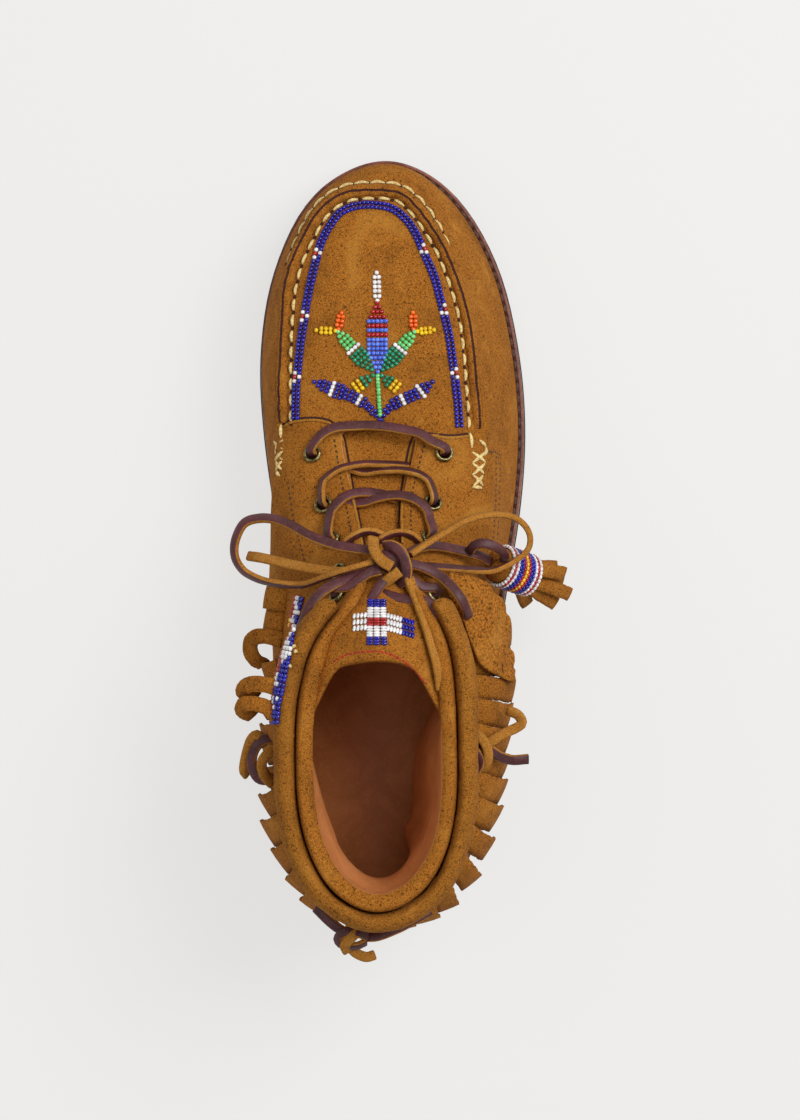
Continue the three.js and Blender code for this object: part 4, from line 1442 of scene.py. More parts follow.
@dataclass
class Lacing:
    """The taut bars and crossings, run through their eyelets."""

    hardware: Hardware
    # the crossing's node, the eyelets it comes from and goes to, points along it in mm, turns of the strip
    strands: Sequence[tuple[str, str, str, Sequence[Point], Sequence[float]]] = (
        ("lace_bar_1", "eyelet_inner_1", "eyelet_outer_1", (
            (-21.3, 146.8, 67.6), (-16.3, 149.7, 67.2), (-9.4, 150.4, 66.9), (-3.1, 150.6, 66.9),
            (3.5, 150.1, 67.1), (10.4, 148.9, 67.4), (16.2, 147.6, 67.9), (20.7, 144.7, 68.5)),
            (-40, -30, -28, -28, -30, -40)),
        ("lace_cross_2", "eyelet_inner_2", "", (
            (-20.6, 128.8, 71.2), (-18.2, 131.5, 71.3), (-14.4, 134.0, 71.4), (-9.7, 135.3, 70.8),
            (-4.9, 136.0, 69.5), (0.0, 136.0, 68.2), (5.2, 135.9, 66.8), (9.2, 135.7, 65.4),
            (12.8, 135.4, 63.6)),
            (-60, -66, -68, -68)),
        ("lace_cross_2", "eyelet_outer_2", "", (
            (20.3, 128.4, 71.7), (18.6, 130.6, 71.3), (15.1, 132.5, 70.8), (8.7, 133.6, 69.9),
            (1.6, 133.4, 68.4), (-4.7, 132.6, 67.0), (-9.0, 133.6, 66.6), (-12.5, 134.8, 66.4)),
            (60, 64, 66, 70)),
        ("lace_cross_3", "eyelet_inner_3", "", (
            (-17.7, 115.4, 78.0), (-17.0, 118.1, 77.1), (-14.6, 121.1, 76.3), (-11.0, 123.8, 75.5),
            (-5.7, 125.0, 74.8), (1.0, 124.4, 74.0), (5.6, 123.1, 73.3), (7.8, 122.3, 72.9)),
            (-40, -34, -34, -36)),
        ("lace_cross_3", "eyelet_outer_3", "", (
            (19.8, 115.4, 79.1), (19.1, 118.1, 78.5), (16.6, 120.8, 77.8), (12.4, 123.1, 77.2),
            (6.8, 123.9, 76.6), (0.5, 122.9, 76.1), (-4.0, 121.4, 75.2), (-8.4, 121.0, 74.2),
            (-12.0, 122.0, 73.4)),
            (40, 34, 34, 36)),
        ("lace_cross_4", "", "", (
            (-11.7, 106.1, 87.4), (-8.1, 108.5, 88.0), (-4.7, 109.9, 87.6), (-1.6, 110.0, 87.1),
            (1.2, 109.1, 86.7), (2.6, 108.5, 86.4)), (60, 62, 60)),
        ("", "eyelet_inner_5", "", (
            (-10.5, 89.5, 105.4), (-6.0, 92.5, 106.0), (-1.5, 95.5, 105.5), (2.0, 98.0, 103.5)),
            (-20, -20)),
        ("", "eyelet_outer_5", "", (
            (17.0, 89.5, 105.0), (12.8, 92.5, 105.8), (8.8, 95.5, 105.2), (6.0, 98.0, 103.5)),
            (20, 20)),
        ("lace_cross_4", "", "", (
            (16.2, 106.1, 87.2), (14.1, 108.1, 87.6), (11.7, 109.3, 87.9), (8.8, 109.6, 88.1),
            (6.0, 109.2, 88.2), (3.5, 108.2, 88.3), (1.2, 106.7, 88.3)), (-60, -62, -60)),
    )

    def build(self) -> None:
        """Runs each strand from its eyelet, across the tongue and under the far edge."""
        for i, (node, start, stop, route, roll) in enumerate(self.strands):
            route = [*self._out_of(start), *route, *reversed(self._out_of(stop))]
            Lace(f"{node or 'lace_top'}_strand_{i}", route, roll, replaces=node, free=False).build()

    def _out_of(self, eyelet: str) -> list[Point]:
        """Finds the lace's points inside and just over an eyelet.

        Args:
            eyelet: the eyelet's node, or nothing where the strand doesn't reach one.

        Returns:
            The points in millimetres.
        """
        if not eyelet:
            return []
        seat = self.hardware.seat(eyelet)
        inside = seat @ (Vector((0, 0, -2.4)) * MM)
        over = seat @ (Vector((0, 0, 1.5)) * MM) + Vector((0, 1.2, 0)) * MM
        return [tuple(inside / MM), tuple(over / MM)]


@dataclass
class Motif:
    """A beaded shape: rows of beads across a line of the picture, a colour's letter for each row."""

    line: Sequence[Pixel]
    counts: Sequence[int]
    colours: str
    across: float = 4.3


@dataclass
class Beadwork:
    """The border, the floral spray and the cross, each bead on the suede."""

    row_gap: float = 4.5
    pitch: float = 1.58
    border: Sequence[Pixel] = (
        (296, 420), (297, 385), (299, 364), (301, 344), (304, 324), (307, 303), (311, 283), (316, 262),
        (321, 244), (329, 228), (340, 213.5), (356, 206.5), (374, 205.5), (392, 209), (407, 221),
        (417, 237), (425, 256), (434, 277), (440, 299), (444, 315), (449, 338), (452, 360), (456, 390),
        (457.5, 405), (459, 428),
    )
    clusters: Sequence[Pixel] = ((316, 254), (305, 316), (298, 379), (426, 249), (444, 311), (455, 374))
    spray: Sequence[Motif] = (
        Motif(((376.5, 273), (377.2, 301)), (1, 2, 2, 2, 2, 2, 1), "wwwwwww"),
        Motif(((377.2, 303), (377.6, 372)), (1, 2, 3, 4, 5, 5, 5, 5, 5, 5, 5, 5, 4, 3, 2, 1),
            "rrrrsrsrssssssss"),
        Motif(((377.6, 376), (380, 415)), (1,) * 12, "l" * 12),
        Motif(((372, 370), (338, 332)), (1, 2, 3, 4, 4, 4, 4, 3, 3, 3, 2, 1), "ggggggwlllll"),
        Motif(((383, 370), (414.5, 332)), (1, 2, 3, 4, 4, 4, 4, 3, 3, 3, 2, 1), "ggggggwlllll"),
        Motif(((338.6, 329.5), (341.6, 313)), (1, 2, 2, 2, 1), "ooooo"),
        Motif(((413.4, 329.5), (413, 313)), (1, 2, 2, 2, 1), "ooooo"),
        Motif(((335.5, 331.2), (316.5, 330.6)), (1, 2, 2, 2, 1), "yyyyy", 4.0),
        Motif(((417.5, 331.8), (433.8, 330.2)), (1, 2, 2, 2, 1), "yyyyy", 4.0),
        Motif(((373, 375.5), (355.5, 388)), (1, 2, 3, 3, 3), "gggyy"),
        Motif(((382, 376), (397, 388)), (1, 2, 3, 3, 3), "gggyy"),
        Motif(((379.5, 420), (366.5, 405), (350, 395.5), (331.8, 389), (314.5, 382)),
            (1, 1, 2, 2, 2, 3, 3, 3, 3, 3, 4, 4, 4, 3, 3, 2, 1), "bbbbbbwbbbbbwbbbb", 4.1),
        Motif(((381.5, 420), (390, 407), (403.3, 399.5), (417.6, 393.5), (432.4, 382)),
            (1, 1, 2, 2, 3, 3, 3, 3, 3, 3, 4, 3, 2, 1), "bbbbbbwbbbwbbb", 4.1),
        Motif(((380.4, 423.5), (380.4, 424.5)), (1,), "b"),
    )

    def build(self) -> None:
        """Sews the beads down."""
        border = Scatter("bead_border", bead_shape())
        self._row(border, -self.row_gap / 2, True)
        self._row(border, self.row_gap / 2, False)
        border.piece()
        spray = Scatter("bead_spray", bead_shape())
        for motif in self.spray:
            self._motif(spray, motif)
        spray.piece()
        self._cross()

    def _row(self, into: Scatter, side: float, outer: bool) -> None:
        """Sews one row of the border.

        Args:
            into: where the beads go.
            side: how far the row is inside the border's middle, in pixels.
            outer: whether it is the row nearer the seam.
        """
        places = list(Line.seen(self.border, side).places(self.pitch * MM))
        spots = [Vector(self._pixel(place.translation)) for place in places]
        colours = [Bead.COBALT] * len(places)
        for cluster in self.clusters:
            nearest = min(range(len(spots)), key=lambda i: (spots[i] - Vector(cluster)).length)
            colours[nearest] = Bead.RED if outer else Bead.WHITE
            if outer:
                colours[nearest - 1] = colours[nearest + 1] = Bead.WHITE
        for place, colour in zip(places, colours):
            self._bead(into, place, colour, 1.85, 1.78)

    def _pixel(self, p: Vector) -> Pixel:
        """Where the camera sees a point."""
        share = Eye.HEIGHT / (Eye.HEIGHT - p.z) / Eye.PIXEL
        return (Eye.MIDDLE[0] + (p.x - Eye.PLAN[0]) * share, Eye.MIDDLE[1] - (p.y - Eye.PLAN[1]) * share)

    def _bead(self, into: Scatter, place: Matrix, colour: Bead, long: float, wide: float) -> None:
        """Sews a bead down.

        Args:
            into: where the bead goes.
            place: a frame on the surface, X along the bead's hole.
            colour: its colour.
            long: its length in millimetres.
            wide: its width.
        """
        raised = place @ Matrix.Translation((0, 0, wide * 0.34 * MM))
        into.add(raised @ sized(long, wide, wide * 0.95), colour)

    def _motif(self, into: Scatter, motif: Motif) -> None:
        """Sews the rows of a motif across its line.

        Args:
            into: where the beads go.
            motif: the motif.
        """
        path = smooth(motif.line, 0.5)
        last = len(path) - 1
        for i, (count, letter) in enumerate(zip(motif.counts, motif.colours)):
            k = round(last * (i / max(1, len(motif.counts) - 1)))
            at = path[k]
            start = min(last - 1, k)
            along = (path[start + 1] - path[start]).normalized()
            for j in range(count):
                off = (j - (count - 1) / 2) * motif.across
                place = EYE.frame(at.x - along.y * off, at.y + along.x * off, -along.y, along.x)
                self._bead(into, place, Bead.of(letter), 2.0, 1.75)

    def _cross(self) -> None:
        """Sews the cross on the tongue: three lanes down it and three across."""
        cross = Scatter("bead_cross", bead_shape())
        upright = "bbbwwwwrrrwwwwbbb"
        for lane in (-1, 0, 1):
            for i, letter in enumerate(upright):
                u = 376.8 + 6.7 * lane + 0.06 * (i - 8) * lane
                v = 601 + 43 * i / (len(upright) - 1)
                self._bead(cross, EYE.frame(u, v, 1, 0), Bead.of(letter), 2.95, 1.25)
        for first, last, letters in ((354.5, 365.5, "wwww"), (388, 412.5, "wwwwwbbbb")):
            for i, letter in enumerate(letters):
                for lane in (-1, 0, 1):
                    u = first + (last - first) * i / (len(letters) - 1)
                    v = 621.5 + 6.2 * lane + (0.28 * (u - 384) if u > 384 else 0.1 * (370 - u))
                    self._bead(cross, EYE.frame(u, v, -0.2, 1), Bead.of(letter), 2.85, 1.3)
        cross.piece()


@dataclass
class Tassel:
    """The beaded barrel and its cut tails."""

    near: Point = (46.6, 97.4, 71.0)
    far: Point = (58.2, 93.4, 62.0)
    # share of the way from near to far, millimetres beyond that, and the core's radius there
    profile: Sequence[Point] = (
        (0, -4.2, 1.6), (0, -3.4, 4.6), (0, -1.6, 6.8), (0, 0.6, 6.8), (0.12, 0, 7.1), (0.9, 0, 7.1),
        (1, 0, 6.8), (1, 1.2, 5.0),
    )
    sides: int = 24
    radius: float = 7.7
    rows: str = "wrwbbryrbbwrw"
    beads_round: int = 30
    bead: Point = (2.05, 1.4, 1.5)
    tips: Sequence[Point] = (
        (69.0, 96.6, 43.7), (71.6, 91.5, 41.3), (74.5, 86.1, 37.8), (69.0, 82.5, 37.8),
        (58.0, 82.5, 42.5), (72.0, 94.0, 47.0), (66.0, 86.0, 41.0),
    )
    tail_size: tuple[float, float] = (5.4, 1.8)

    def build(self) -> None:
        """Winds the bead rows on the barrel and hangs the tails from it."""
        near, far = Vector(self.near) * MM, Vector(self.far) * MM
        axis = (far - near).normalized()
        side = axis.cross(UP).normalized()
        up = side.cross(axis)
        turns = [math.tau * j / self.sides for j in range(self.sides)]
        rings = []
        for share, beyond, radius in self.profile:
            at = near.lerp(far, share) + axis * beyond * MM
            rings.append([at + (side * math.cos(t) + up * math.sin(t)) * radius * MM for t in turns])
        shape = Tubes()
        shape.add(rings)
        core = shape.piece("tassel_core", (SUEDE,))
        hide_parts("tassel")
        beads = Scatter("tassel_beads", bead_shape())
        for i, letter in enumerate(self.rows):
            at = near.lerp(far, (i + 0.7) / (len(self.rows) + 0.4))
            for j in range(self.beads_round):
                t = math.tau * (j + 0.5 * (i % 2)) / self.beads_round
                out = side * math.cos(t) + up * math.sin(t)
                place = frame_at(at + out * self.radius * MM, out.cross(axis), out)
                beads.add(place @ sized(*self.bead), Bead.of(letter))
        beads.piece()
        tails = Tubes()
        for i, tip in enumerate(self.tips):
            end = Vector(tip) * MM
            spread = end - far
            spread -= axis * spread.dot(axis)
            root = far - axis * 3 * MM + spread.normalized() * self.radius * 0.5 * MM
            bend = root.lerp(end, 0.55) + UP * (2.5 + i % 3) * MM
            Strip([root, root.lerp(bend, 0.5), bend, end], *self.tail_size).cut(tails)
        tails.piece("tassel_tails", (SUEDE,))


@dataclass
class Strip:
    """A cut suede strip, broad face upwards, with slightly uneven edges."""

    # corners of the section, in halves of the width and the thickness
    SECTION = ((-1, 0.7), (-0.4, 1), (0.4, 1), (1, 0.7), (1, -0.7), (0.4, -1), (-0.4, -1), (-1, -0.7))

    line: Sequence[Vector]
    width: float
    thick: float
    twist: float = 0.0
    across: Vector | None = None
    uneven: float = 0.1
    wander: float = 0.4

    def cut(self, into: Tubes) -> None:
        """Draws the strip along its line, among others.

        Args:
            into: the strips' shared mesh.
        """
        path = smooth(self.line, 1.4 * MM)
        last = len(path) - 1
        for i in range(1, last):
            path[i] = path[i] + noise.noise_vector(path[i] * 60) * self.wander * MM
        thick = self.thick / 2 * MM
        rings = []
        for i, p in enumerate(path):
            along = direction(path, i)
            side = along.cross(UP) if self.across is None else self.across
            side = (side - along * side.dot(along)).normalized()
            share = i / last
            side = Matrix.Rotation(math.radians(self.twist * share * share), 3, along) @ side
            up = side.cross(along)
            half = self.width / 2 * MM
            left = half * (1 + self.uneven * noise.noise(p * 420))
            right = half * (1 + self.uneven * noise.noise(p * 420 + UP * 9))
            ring = [(a * (left if a < 0 else right), b * thick) for a, b in self.SECTION]
            rings.append([p + side * a + up * b for a, b in ring])
        into.add(rings)


@dataclass
class Fringe:
    """The fringe below the roll: strips that hang, flare and curl, each as the photograph shows it."""

    root_height: float = 98.0
    # strips left of and above this point of the picture hang from the wall itself
    on_wall: Pixel = (320, 735)
    thick: float = 1.5
    curl_twist: float = 35
    # how a strip falls: shares of the way out, and of the way down
    fall: Sequence[tuple[float, float]] = ((0.45, 0.14), (0.8, 0.42), (0.96, 0.74))
    # root across and down the picture, tip across and down, tip's height, width in mm, twist in degrees
    strips: Sequence[tuple[float, float, float, float, float, float, float]] = (
        (462, 636, 510, 634, 55, 8.6, 0), (464, 660, 510, 666, 55, 8.4, 0),
        (466, 684, 512, 690, 57, 8.6, 0), (467, 708, 509, 715, 57, 9.6, 0),
        (468, 733, 507, 741, 57, 9.4, 0), (468, 757, 505, 766, 57, 9.9, 0),
        (467, 781, 502, 791, 57, 10.3, 0), (464, 805, 496, 817, 58, 10.7, 0),
        (460, 829, 488, 848, 60, 9.6, -12), (452, 855, 471, 881, 60, 9.6, -12),
        (438, 880, 447, 906, 60, 9.6, -8), (420, 898, 428, 918, 58, 9.6, 0),
        (400, 908, 405, 925, 57, 8.6, 0), (380, 913, 382, 929, 57, 8.6, 0),
        (360, 911, 357, 926, 57, 8.6, 0), (342, 902, 335, 916, 57, 9.4, 0),
        (325, 888, 312, 905, 58, 10.4, 8), (312, 868, 297, 886, 60, 10.8, 10),
        (303, 845, 281, 860, 60, 11.2, 10), (296, 820, 269, 832, 58, 11.2, 4),
        (292, 796, 267, 806, 58, 10.6, 0), (290, 772, 268, 779, 57, 9.8, 0),
        (290, 748, 266, 752, 57, 9.2, 0), (291, 728, 264, 732, 58, 7.0, 0),
        (277, 707, 264, 710, 55, 6.6, 0), (280, 668, 265, 672, 58, 7.4, 0),
        (284, 624, 266, 620, 60, 9.2, 0), (287, 601, 266, 597, 62, 8.6, 0),
    )
    # points across and down the picture with their height, and width in mm
    curls: Sequence[tuple[Sequence[Point], float]] = (
        (((283, 641, 84), (278, 639, 83), (271, 637, 81), (259, 636, 79), (251, 641, 77), (250, 651, 75),
            (255, 660, 73), (264, 665, 70)), 5.8),
        (((279, 689, 84), (274, 687, 83), (267, 685, 82), (253, 684, 81), (244, 688, 79), (245, 694, 75),
            (256, 697, 71)), 6.0),
        (((277, 718, 84), (273, 713, 83), (267, 708, 82), (255, 704, 81), (244, 705, 79), (243, 712, 75),
            (253, 716, 71)), 5.6),
    )

    def build(self) -> bpy.types.Object:
        """Cuts and hangs the strips.

        Returns:
            The piece.
        """
        skirt = Tubes()
        for u, v, tip_u, tip_v, tip_z, width, twist in self.strips:
            root = EYE.through(u, v, self.root_height)
            if u < self.on_wall[0] and v < self.on_wall[1]:
                root = EYE.hit(u, v)[0] - UP * MM
            tip = EYE.through(tip_u, tip_v, tip_z)
            out = Vector((tip.x - root.x, tip.y - root.y, 0))
            drop = UP * (root.z - tip_z * MM)
            bends = [root + out * share - drop * down for share, down in self.fall]
            Strip([root, *bends, tip], width, self.thick, twist, out.cross(UP)).cut(skirt)
        for spots, width in self.curls:
            u, v, height = spots[0]
            lower = height + 1 - EYE.hit(u, v)[0].z / MM
            line = [EYE.through(u, v, z - lower) for u, v, z in spots]
            Strip(line, width, self.thick, self.curl_twist).cut(skirt)
        made = skirt.piece("fringe_strips", (SUEDE,))
        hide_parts("fringe")
        return made


@dataclass
class Flap:
    """The free flap at the fringe's front: a rough sheet that slopes out and back."""

    thick: float = 1.8
    flat: tuple[float, float] = (0.033, 0.055)
    rows: tuple[int, int] = (40, 20)
    # across and down the picture, and height, along the flap's rear edge and along its front one
    rear: Sequence[Point] = (
        (446, 588, 101.5), (454, 603, 102.5), (463, 620, 102.5), (472, 642, 101.5), (484, 665, 99),
        (499, 676, 92), (514, 684, 82),
    )
    front: Sequence[Point] = (
        (450, 572, 100.5), (466, 574, 97), (481, 578, 91), (496, 591, 86), (508, 606, 82),
        (512, 640, 78), (516.5, 681, 79),
    )

    def build(self) -> bpy.types.Object:
        """Stretches a grid between the two edges and gives it thickness.

        Returns:
            The piece.
        """
        rear = smooth(self.rear, 2.2)
        front = smooth(self.front, 2.2)
        bm = bmesh.new()
        grid = bmesh.ops.create_grid(bm, x_segments=self.rows[0], y_segments=self.rows[1], size=0.5)["verts"]
        for v in grid:
            i, j = v.co.x + 0.5, v.co.y + 0.5
            a = rear[round(i * (len(rear) - 1))]
            b = front[round(i * (len(front) - 1))]
            spot = a.lerp(b, j)
            rough = noise.noise(Vector((i * 9, j * 3, 4))) * 3.4 * ramp(j, 0.7, 1)
            rough += noise.noise(Vector((i * 34, 1, 4))) * 5.0 * ramp(j, 0.86, 1)
            spot.x += rough
            spot.y -= rough * 0.6
            arch = 2.2 * math.sin(math.pi * j) * ramp(i, 0, 0.4)
            uneven = noise.noise_vector(Vector((i * 5, j * 3, 0))) * 0.7 * MM
            v.co = EYE.through(spot.x, spot.y, spot.z + arch) + uneven
        bmesh.ops.recalc_face_normals(bm, faces=bm.faces)
        if sum(face.normal.z for face in bm.faces) < 0:
            bmesh.ops.reverse_faces(bm, faces=bm.faces)
        area = sum(face.calc_area() for face in bm.faces)
        bmesh.ops.solidify(bm, geom=bm.faces[:], thickness=self.thick * MM)
        bmesh.ops.recalc_face_normals(bm, faces=bm.faces)
        made = add_object("front_flap", mesh_of("front_flap", bm), (ROUGH_SUEDE,))
        subdivide(made, 1)
        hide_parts("cuff_flap")
        log.info("flap's area %.6f", area)
        return made


@dataclass
class Thongs:
    """The thongs that are knotted at both sides of the collar and behind it, and strands of the bow."""

    # name, points across and down the picture with their height, turns of the strip
    strands: Sequence[tuple[str, Sequence[Point], Sequence[float]]] = (
        ("thong_left_loop", ((284, 736, 96), (274, 738, 98), (262, 741, 98), (254, 751, 96),
            (252, 764, 95), (257, 777, 95), (266, 780, 96), (277, 776, 95)), (20, 30, 30, 20)),
        ("thong_left_over", ((282, 748, 99), (270, 752, 101.5), (262, 762, 101), (264, 775, 99),
            (272, 784, 96)), (170, 160, 165)),
        ("thong_left_tail", ((266, 745, 96), (258, 735, 97), (251, 740, 95), (246, 756, 92),
            (244, 770, 90), (247, 775, 88)), (190, 175, 160)),
        ("thong_left_strap", ((262, 770, 97), (272, 782, 96), (281, 789, 95)), (180, 180)),
        ("thong_right_loop", ((468, 732, 98), (476, 735, 101), (484, 742, 102), (488, 754, 101),
            (485, 765, 99), (476, 768, 97), (468, 760, 96)), (170, 160, 190)),
        ("thong_right_inner", ((469, 748, 99), (476, 752, 100.5), (480, 762, 99.5), (476, 772, 97),
            (470, 780, 94)), (20, 40)),
        ("thong_right_tail", ((479, 744, 99), (489, 749, 97), (500, 756, 93), (512, 760, 90),
            (528, 759, 88)), (30, 20, 10)),
        ("thong_right_tail_upper", ((480, 748, 98), (492, 741, 97), (505, 733, 94), (516, 728, 93),
            (522, 723, 93), (518, 715, 93), (507, 710, 92)), (170, 160, 150)),
        ("thong_back_left", ((316, 908, 93), (327, 919, 95), (338, 928, 96), (350, 935, 97)), (20, 20)),
        ("thong_back_right", ((430, 911, 92), (412, 921, 94), (394, 930, 96), (378, 936, 97),
            (366, 937, 97)), (10, 20, 20)),
        ("thong_back_loop", ((367, 936, 99), (356, 932, 102), (344, 933, 101), (338, 939, 99),
            (343, 945, 98), (356, 946, 99), (366, 942, 98)), (20, 40, 60)),
        ("thong_back_over", ((361, 929, 100), (352, 937, 103), (345, 945, 101), (347, 951, 97)),
            (170, 165)),
        ("thong_back_tail", ((348, 945, 97), (356, 953, 95), (366, 957, 93), (374, 955, 91)),
            (170, 175, 170)),
        ("tassel_loop", ((470, 551, 82), (474, 546, 84), (482, 543.5, 85), (491, 545, 84.5),
            (499, 549, 83), (504, 554, 81), (504, 560, 78)), (-20, -10, 0)),
        ("tie_left", ((381, 570, 106), (369, 573, 105.5), (352, 577, 104.5), (335, 584, 105),
            (320, 594, 108), (310, 606, 109), (304, 620, 106), (301, 628, 101)), (25, 25, 25, 20)),
        ("tie_right", ((409, 564, 106), (422, 567, 104), (438, 575, 104), (450, 585, 106),
            (459, 596, 107.5), (465, 607, 106), (468, 617, 101)), (-25, -25, -25, -20)),
        ("tie_rim", ((409, 578, 107), (414, 592, 109), (420, 608, 112), (427, 628, 114.5),
            (433, 648, 116), (438, 668, 117), (441, 690, 116)), (150, 150, 160)),
        ("tie_under", ((374, 592, 103), (384, 594, 105.5), (396, 597.5, 107), (410, 600, 108),
            (423, 601, 108.6), (432, 606, 109), (438, 616, 109.5), (442, 630, 108)), (-20, -20)),
        ("tie_down_left", ((386, 577, 105), (380, 586, 106.5), (373, 597, 106.8), (367, 608, 105.5),
            (363, 616, 102)), (10, 10)),
        ("tie_down_right", ((421, 592, 103), (429, 602, 105), (435, 615, 105), (438, 626, 103)),
            (-15, -15)),
    )

    def build(self) -> None:
        """Lays every strand."""
        for name, route, roll in self.strands:
            Lace(name, EYE.route(route), roll, free=False).build()


@dataclass
class Needlework:
    """Panel edges, stitched lines, bar tacks and the bead band on the inner side."""

    edges: Sequence[Sequence[Pixel]] = (
        ((283, 428), (290, 423), (304, 420.5), (318, 420.5), (329, 423), (337, 430), (342, 440),
            (346, 460), (351, 490), (357, 520), (364, 556)),
        ((470, 436), (450, 438), (430, 436), (417, 437), (412, 446), (408, 465), (404, 490), (402, 515),
            (403, 545)),
    )
    dotted: Sequence[Sequence[Pixel]] = (
        ((334, 438), (338, 462), (343, 490), (349, 520), (354, 545)),
        ((425, 444), (419, 465), (413, 490), (411, 515), (412, 540)),
        ((288, 480), (292, 510), (299, 540), (306, 566)),
        ((500, 455), (500, 480), (499, 510), (497, 542)),
        ((496, 455), (496, 480), (495, 510), (493, 540)),
        ((489, 452), (495, 452), (500, 455)),
    )
    tacks: Sequence[Sequence[Pixel]] = (
        ((470, 433), (472, 449)), ((479, 440), (486, 447)), ((486, 447), (484, 456)),
        ((472, 452), (486, 463)), ((485, 452), (472, 463)), ((472, 463), (484, 474)),
        ((485, 463), (472, 475)), ((473, 475), (483, 486)), ((483, 475), (473, 486)),
        ((472, 487), (482, 488)), ((281, 424), (281, 438)), ((274, 441), (283, 449)),
        ((283, 440), (275, 450)), ((275, 450), (283, 460)), ((283, 451), (275, 461)),
        ((276, 461), (282, 470)), ((282, 461), (276, 471)), ((277, 471), (280, 476)),
    )
    tongue_line: Sequence[Pixel] = (
        (333, 662), (344, 656), (355, 653), (378, 651.5), (398, 658), (414, 670), (426, 684),
    )
    collar_marks: Sequence[Sequence[Pixel]] = (
        ((293, 648), (296, 645)), ((294, 652), (298, 651)), ((290, 664), (291, 668)),
    )
    band_line: Sequence[Pixel] = (
        (304, 600), (299, 618), (294, 640), (289, 665), (284, 690), (281, 705), (279, 722),
    )
    lanes: Sequence[str] = (
        "bbbwbbwwbbbwwbbbbbbbbbbbbbbb",
        "bbwwbwwwwbwwwwbbbbbbbbwbbbbb",
        "wwwwwwrwwwwwwwwbbbbwbbbbwbbb",
        "wwrrrwrrrrwwwwrrrwwwbbwwrrbb",
        "rrrrryyyyrrrrrrrrryyyrrrrrrr",
    )

    # sections across an edge and across the dark strip of painted shadow beside it: place across and height,
    # in mm
    edge_section: Sequence[Pixel] = ((-0.55, -0.5), (0.55, -0.5), (0.5, 0.5), (0, 0.75), (-0.5, 0.5))
    shadow_section: Sequence[Pixel] = ((-0.5, -0.3), (0.5, -0.3), (0.4, 0.12), (-0.4, 0.12))
    shadow_beside: float = 2.6
    dot: Point = (1.6, 0.8, 0.6)
    tongue_stitch: Point = (1.75, 0.7, 0.7)
    band_bead: Point = (2.1, 1.6, 1.6)
    band_lane: float = 1.45

    def build(self) -> None:
        """Sews everything."""
        self._panels()
        self._row("seam_dots", 0.5, self.dotted, 2.2, self.dot, TAN_THREAD)
        self._tack()
        self._row("tongue_stitches", 0.3, (self.tongue_line,), 1.7, self.tongue_stitch, RED_THREAD)
        self._band()

    def _panels(self) -> None:
        """Draws the cut edges of the quarters and a dark strip of painted shadow beside each."""
        edges = Tubes()
        for pixels in self.edges:
            edges.add(swept(Line.seen(pixels).places(1.5 * MM), self.edge_section))
        edges.piece("panel_edges", (PALE_EDGE,))
        # Dark strips of painted shadow, flush with the surface, beside each panel edge.
        shadows = Tubes()
        for pixels, side in zip(self.edges, (-self.shadow_beside, self.shadow_beside)):
            shadows.add(swept(Line.seen(pixels, side).places(1.5 * MM), self.shadow_section))
        shadows.piece("panel_painted_shadows", (SEAM_EDGE_AND_SHADE,))

    def _row(
        self,
        name: str,
        arch: float,
        lines: Sequence[Sequence[Pixel]],
        pitch: float,
        size: Point,
        thread: Thread,
    ) -> None:
        """Sews small stitches along lines.

        Args:
            name: the piece's name.
            arch: how far a stitch dips at its ends.
            lines: points of the picture along each line.
            pitch: the length of stitch and gap, in millimetres.
            size: a stitch's length, width and height.
            thread: its thread.
        """
        row = Scatter(name, stitch_shape(arch))
        for pixels in lines:
            for place in Line.seen(pixels).places(pitch * MM):
                row.add(place @ sized(*size), thread)
        row.piece()

    def _tack(self) -> None:
        """Sews the bar tacks and the marks on the collar, each a stitch between two points."""
        tacks = Scatter("bar_tacks", stitch_shape(0.4))
        for pair in (*self.tacks, *self.collar_marks):
            (a, n), (b, _) = (EYE.hit(*pixel) for pixel in pair)
            place = frame_at(a.lerp(b, 0.5) + n * 0.5 * MM, b - a, n)
            tacks.add(place @ sized((b - a).length / MM, 1.45, 1.2), CREAM_THREAD)
        tacks.piece()

    def _band(self) -> None:
        """Sews the bead band along the roll on the inner side, lane by lane down from its edge."""
        band = Scatter("bead_band", bead_shape())
        path = smooth(self.band_line, 1.0)
        last = len(path) - 1
        rows = len(self.lanes[0])
        for i in range(rows):
            k = round(last * i / (rows - 1))
            at, after = path[k], path[min(last, k + 2)]
            spot, normal = EYE.hit(at.x, at.y)
            height = spot.z / MM
            along = EYE.through(after.x, after.y, height) - EYE.through(at.x - 0.01, at.y - 0.1, height)
            for letters in self.lanes:
                down = along.cross(normal).normalized()
                down = down if down.x < 0 else -down
                place = frame_at(spot + normal * 0.9 * MM, along, normal)
                band.add(place @ sized(*self.band_bead), Bead.of(letters[i]))
                spot, normal = EYE.nearest(spot + down * self.band_lane * MM, normal)
        band.piece()


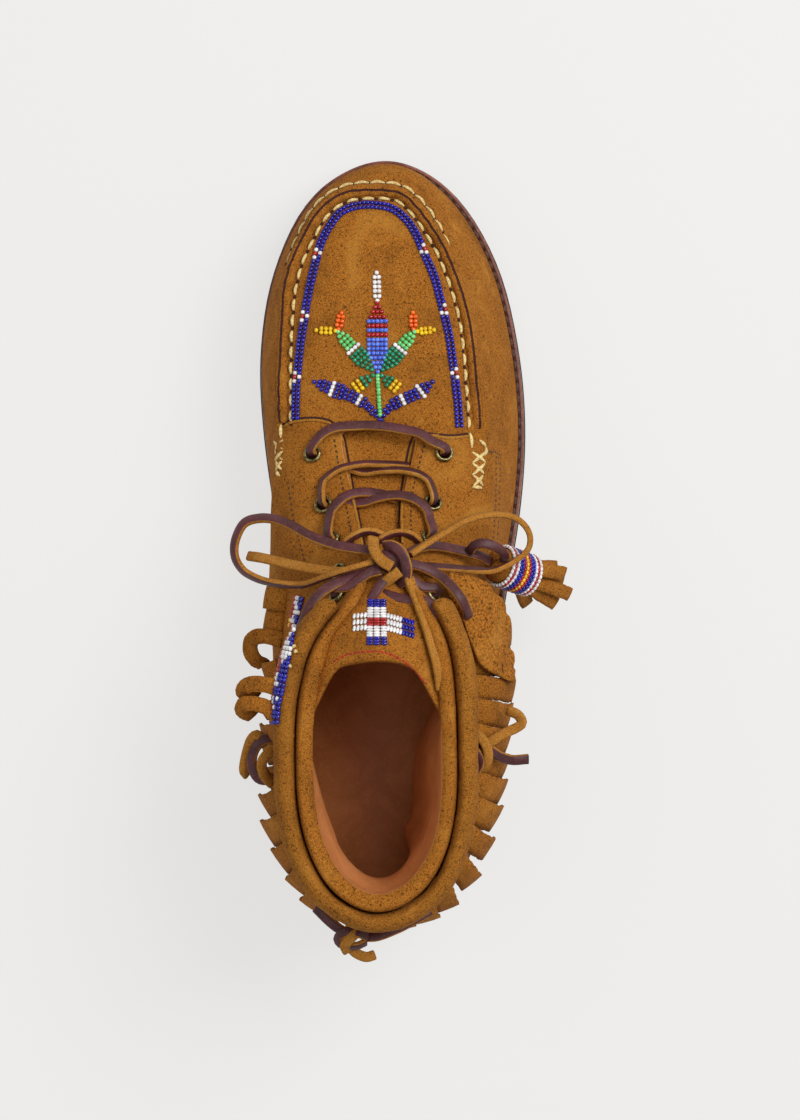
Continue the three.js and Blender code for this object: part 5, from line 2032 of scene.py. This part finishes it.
@dataclass
class Studio:
    """A plain pale floor, lit from below as a light table is, and soft light."""

    floor_glow: float = 0.79
    sky: float = 0.4
    # name, place in metres, width in metres and power of each light
    lamps: Sequence[tuple[str, Point, float, float]] = (
        ("key", (0.7, 0.55, 1.3), 0.8, 18), ("fill", (-0.7, 0.1, 1.2), 1.2, 3.5),
    )
    aim: Point = (0, 0.1, 0.03)

    def build(self) -> None:
        """Lays the floor and hangs the lights."""
        bm = bmesh.new()
        bmesh.ops.create_grid(bm, x_segments=1, y_segments=1, size=3)
        mesh = mesh_of("floor", bm)
        floor = bpy.data.objects.new("floor", mesh)
        bpy.context.collection.objects.link(floor)
        paper = {
            "Base Color": tone("#6F6F6E"),
            "Roughness": 0.95,
            "Specular IOR Level": 0.1,
            "Emission Color": tone("#EFEEEC"),
            "Emission Strength": self.floor_glow,
        }
        mesh.materials.append(Recipe("floor_paper").finish(paper))
        world = bpy.data.worlds.new("studio")
        world.use_nodes = True
        background = world.node_tree.nodes["Background"].inputs
        background["Color"].default_value = (1, 1, 1, 1)
        background["Strength"].default_value = self.sky
        bpy.context.scene.world = world
        for lamp in self.lamps:
            self._hang(*lamp)
        bpy.context.scene.view_settings.view_transform = "Standard"

    def _hang(self, name: str, at: Point, size: float, power: float) -> None:
        """Hangs a square soft light that faces the boot.

        Args:
            name: its name.
            at: its place.
            size: its width.
            power: its power.
        """
        data = bpy.data.lights.new(name, "AREA")
        data.size = size
        data.energy = power
        lamp = bpy.data.objects.new(name, data)
        lamp.location = at
        lamp.rotation_euler = (Vector(self.aim) - Vector(at)).to_track_quat("-Z", "Y").to_euler()
        bpy.context.collection.objects.link(lamp)


@dataclass
class Knot:
    """The bow's knot: a bundle under wraps of lace."""

    width: float = 4.2
    # name, points across and down the picture with their height, turns of the strip
    wraps: Sequence[tuple[str, Sequence[Point], Sequence[float]]] = (
        ("wrap_front", ((385, 546, 104), (393, 546, 107.5), (401, 552, 108.6), (406, 564, 108.4),
            (406, 577, 107), (399, 585, 103)), (20, 20, 25)),
        ("wrap_back", ((373, 538, 101), (374, 549, 106), (381, 560, 108.2), (392, 567, 108.2)), (160, 165)),
        ("wrap_end", ((400, 571, 107.5), (392, 577, 107), (381, 586, 104)), (170, 170)),
    )

    def build(self) -> None:
        """Rounds the bundle and lays the wraps over it."""
        Copy("bow_knot", 60, 0.0).piece("bow_knot_bundle", (GRAIN_SIDE,), "lace_leather", 2)
        for name, spots, roll in self.wraps:
            Lace(name, EYE.route(spots), roll, free=False, width=self.width).build()


def main() -> None:
    """Builds the boot's looks in order."""
    logging.basicConfig(level=logging.INFO, format="%(message)s")
    noise.seed_set(SEED)
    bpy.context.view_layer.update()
    EYE.camera()
    Bow().build()
    log.info("bow laid")
    Studio().build()
    sole = Sole()
    ground = sole.build()
    log.info("sole dressed and sewn")
    upper = Upper(sole)
    EYE.watch(ground + upper.build())
    upper.sew()
    log.info("upper dressed and sewn")
    Beadwork().build()
    Needlework().build()
    log.info("beaded and stitched")
    EYE.watch([Fringe().build(), Flap().build()])
    log.info("fringe hung")
    hardware = Hardware()
    hardware.build()
    Lacing(hardware).build()
    Knot().build()
    log.info("laced")
    Thongs().build()
    Tassel().build()
    log.info("thongs and tassel tied")


if __name__ == "__main__":
    main()
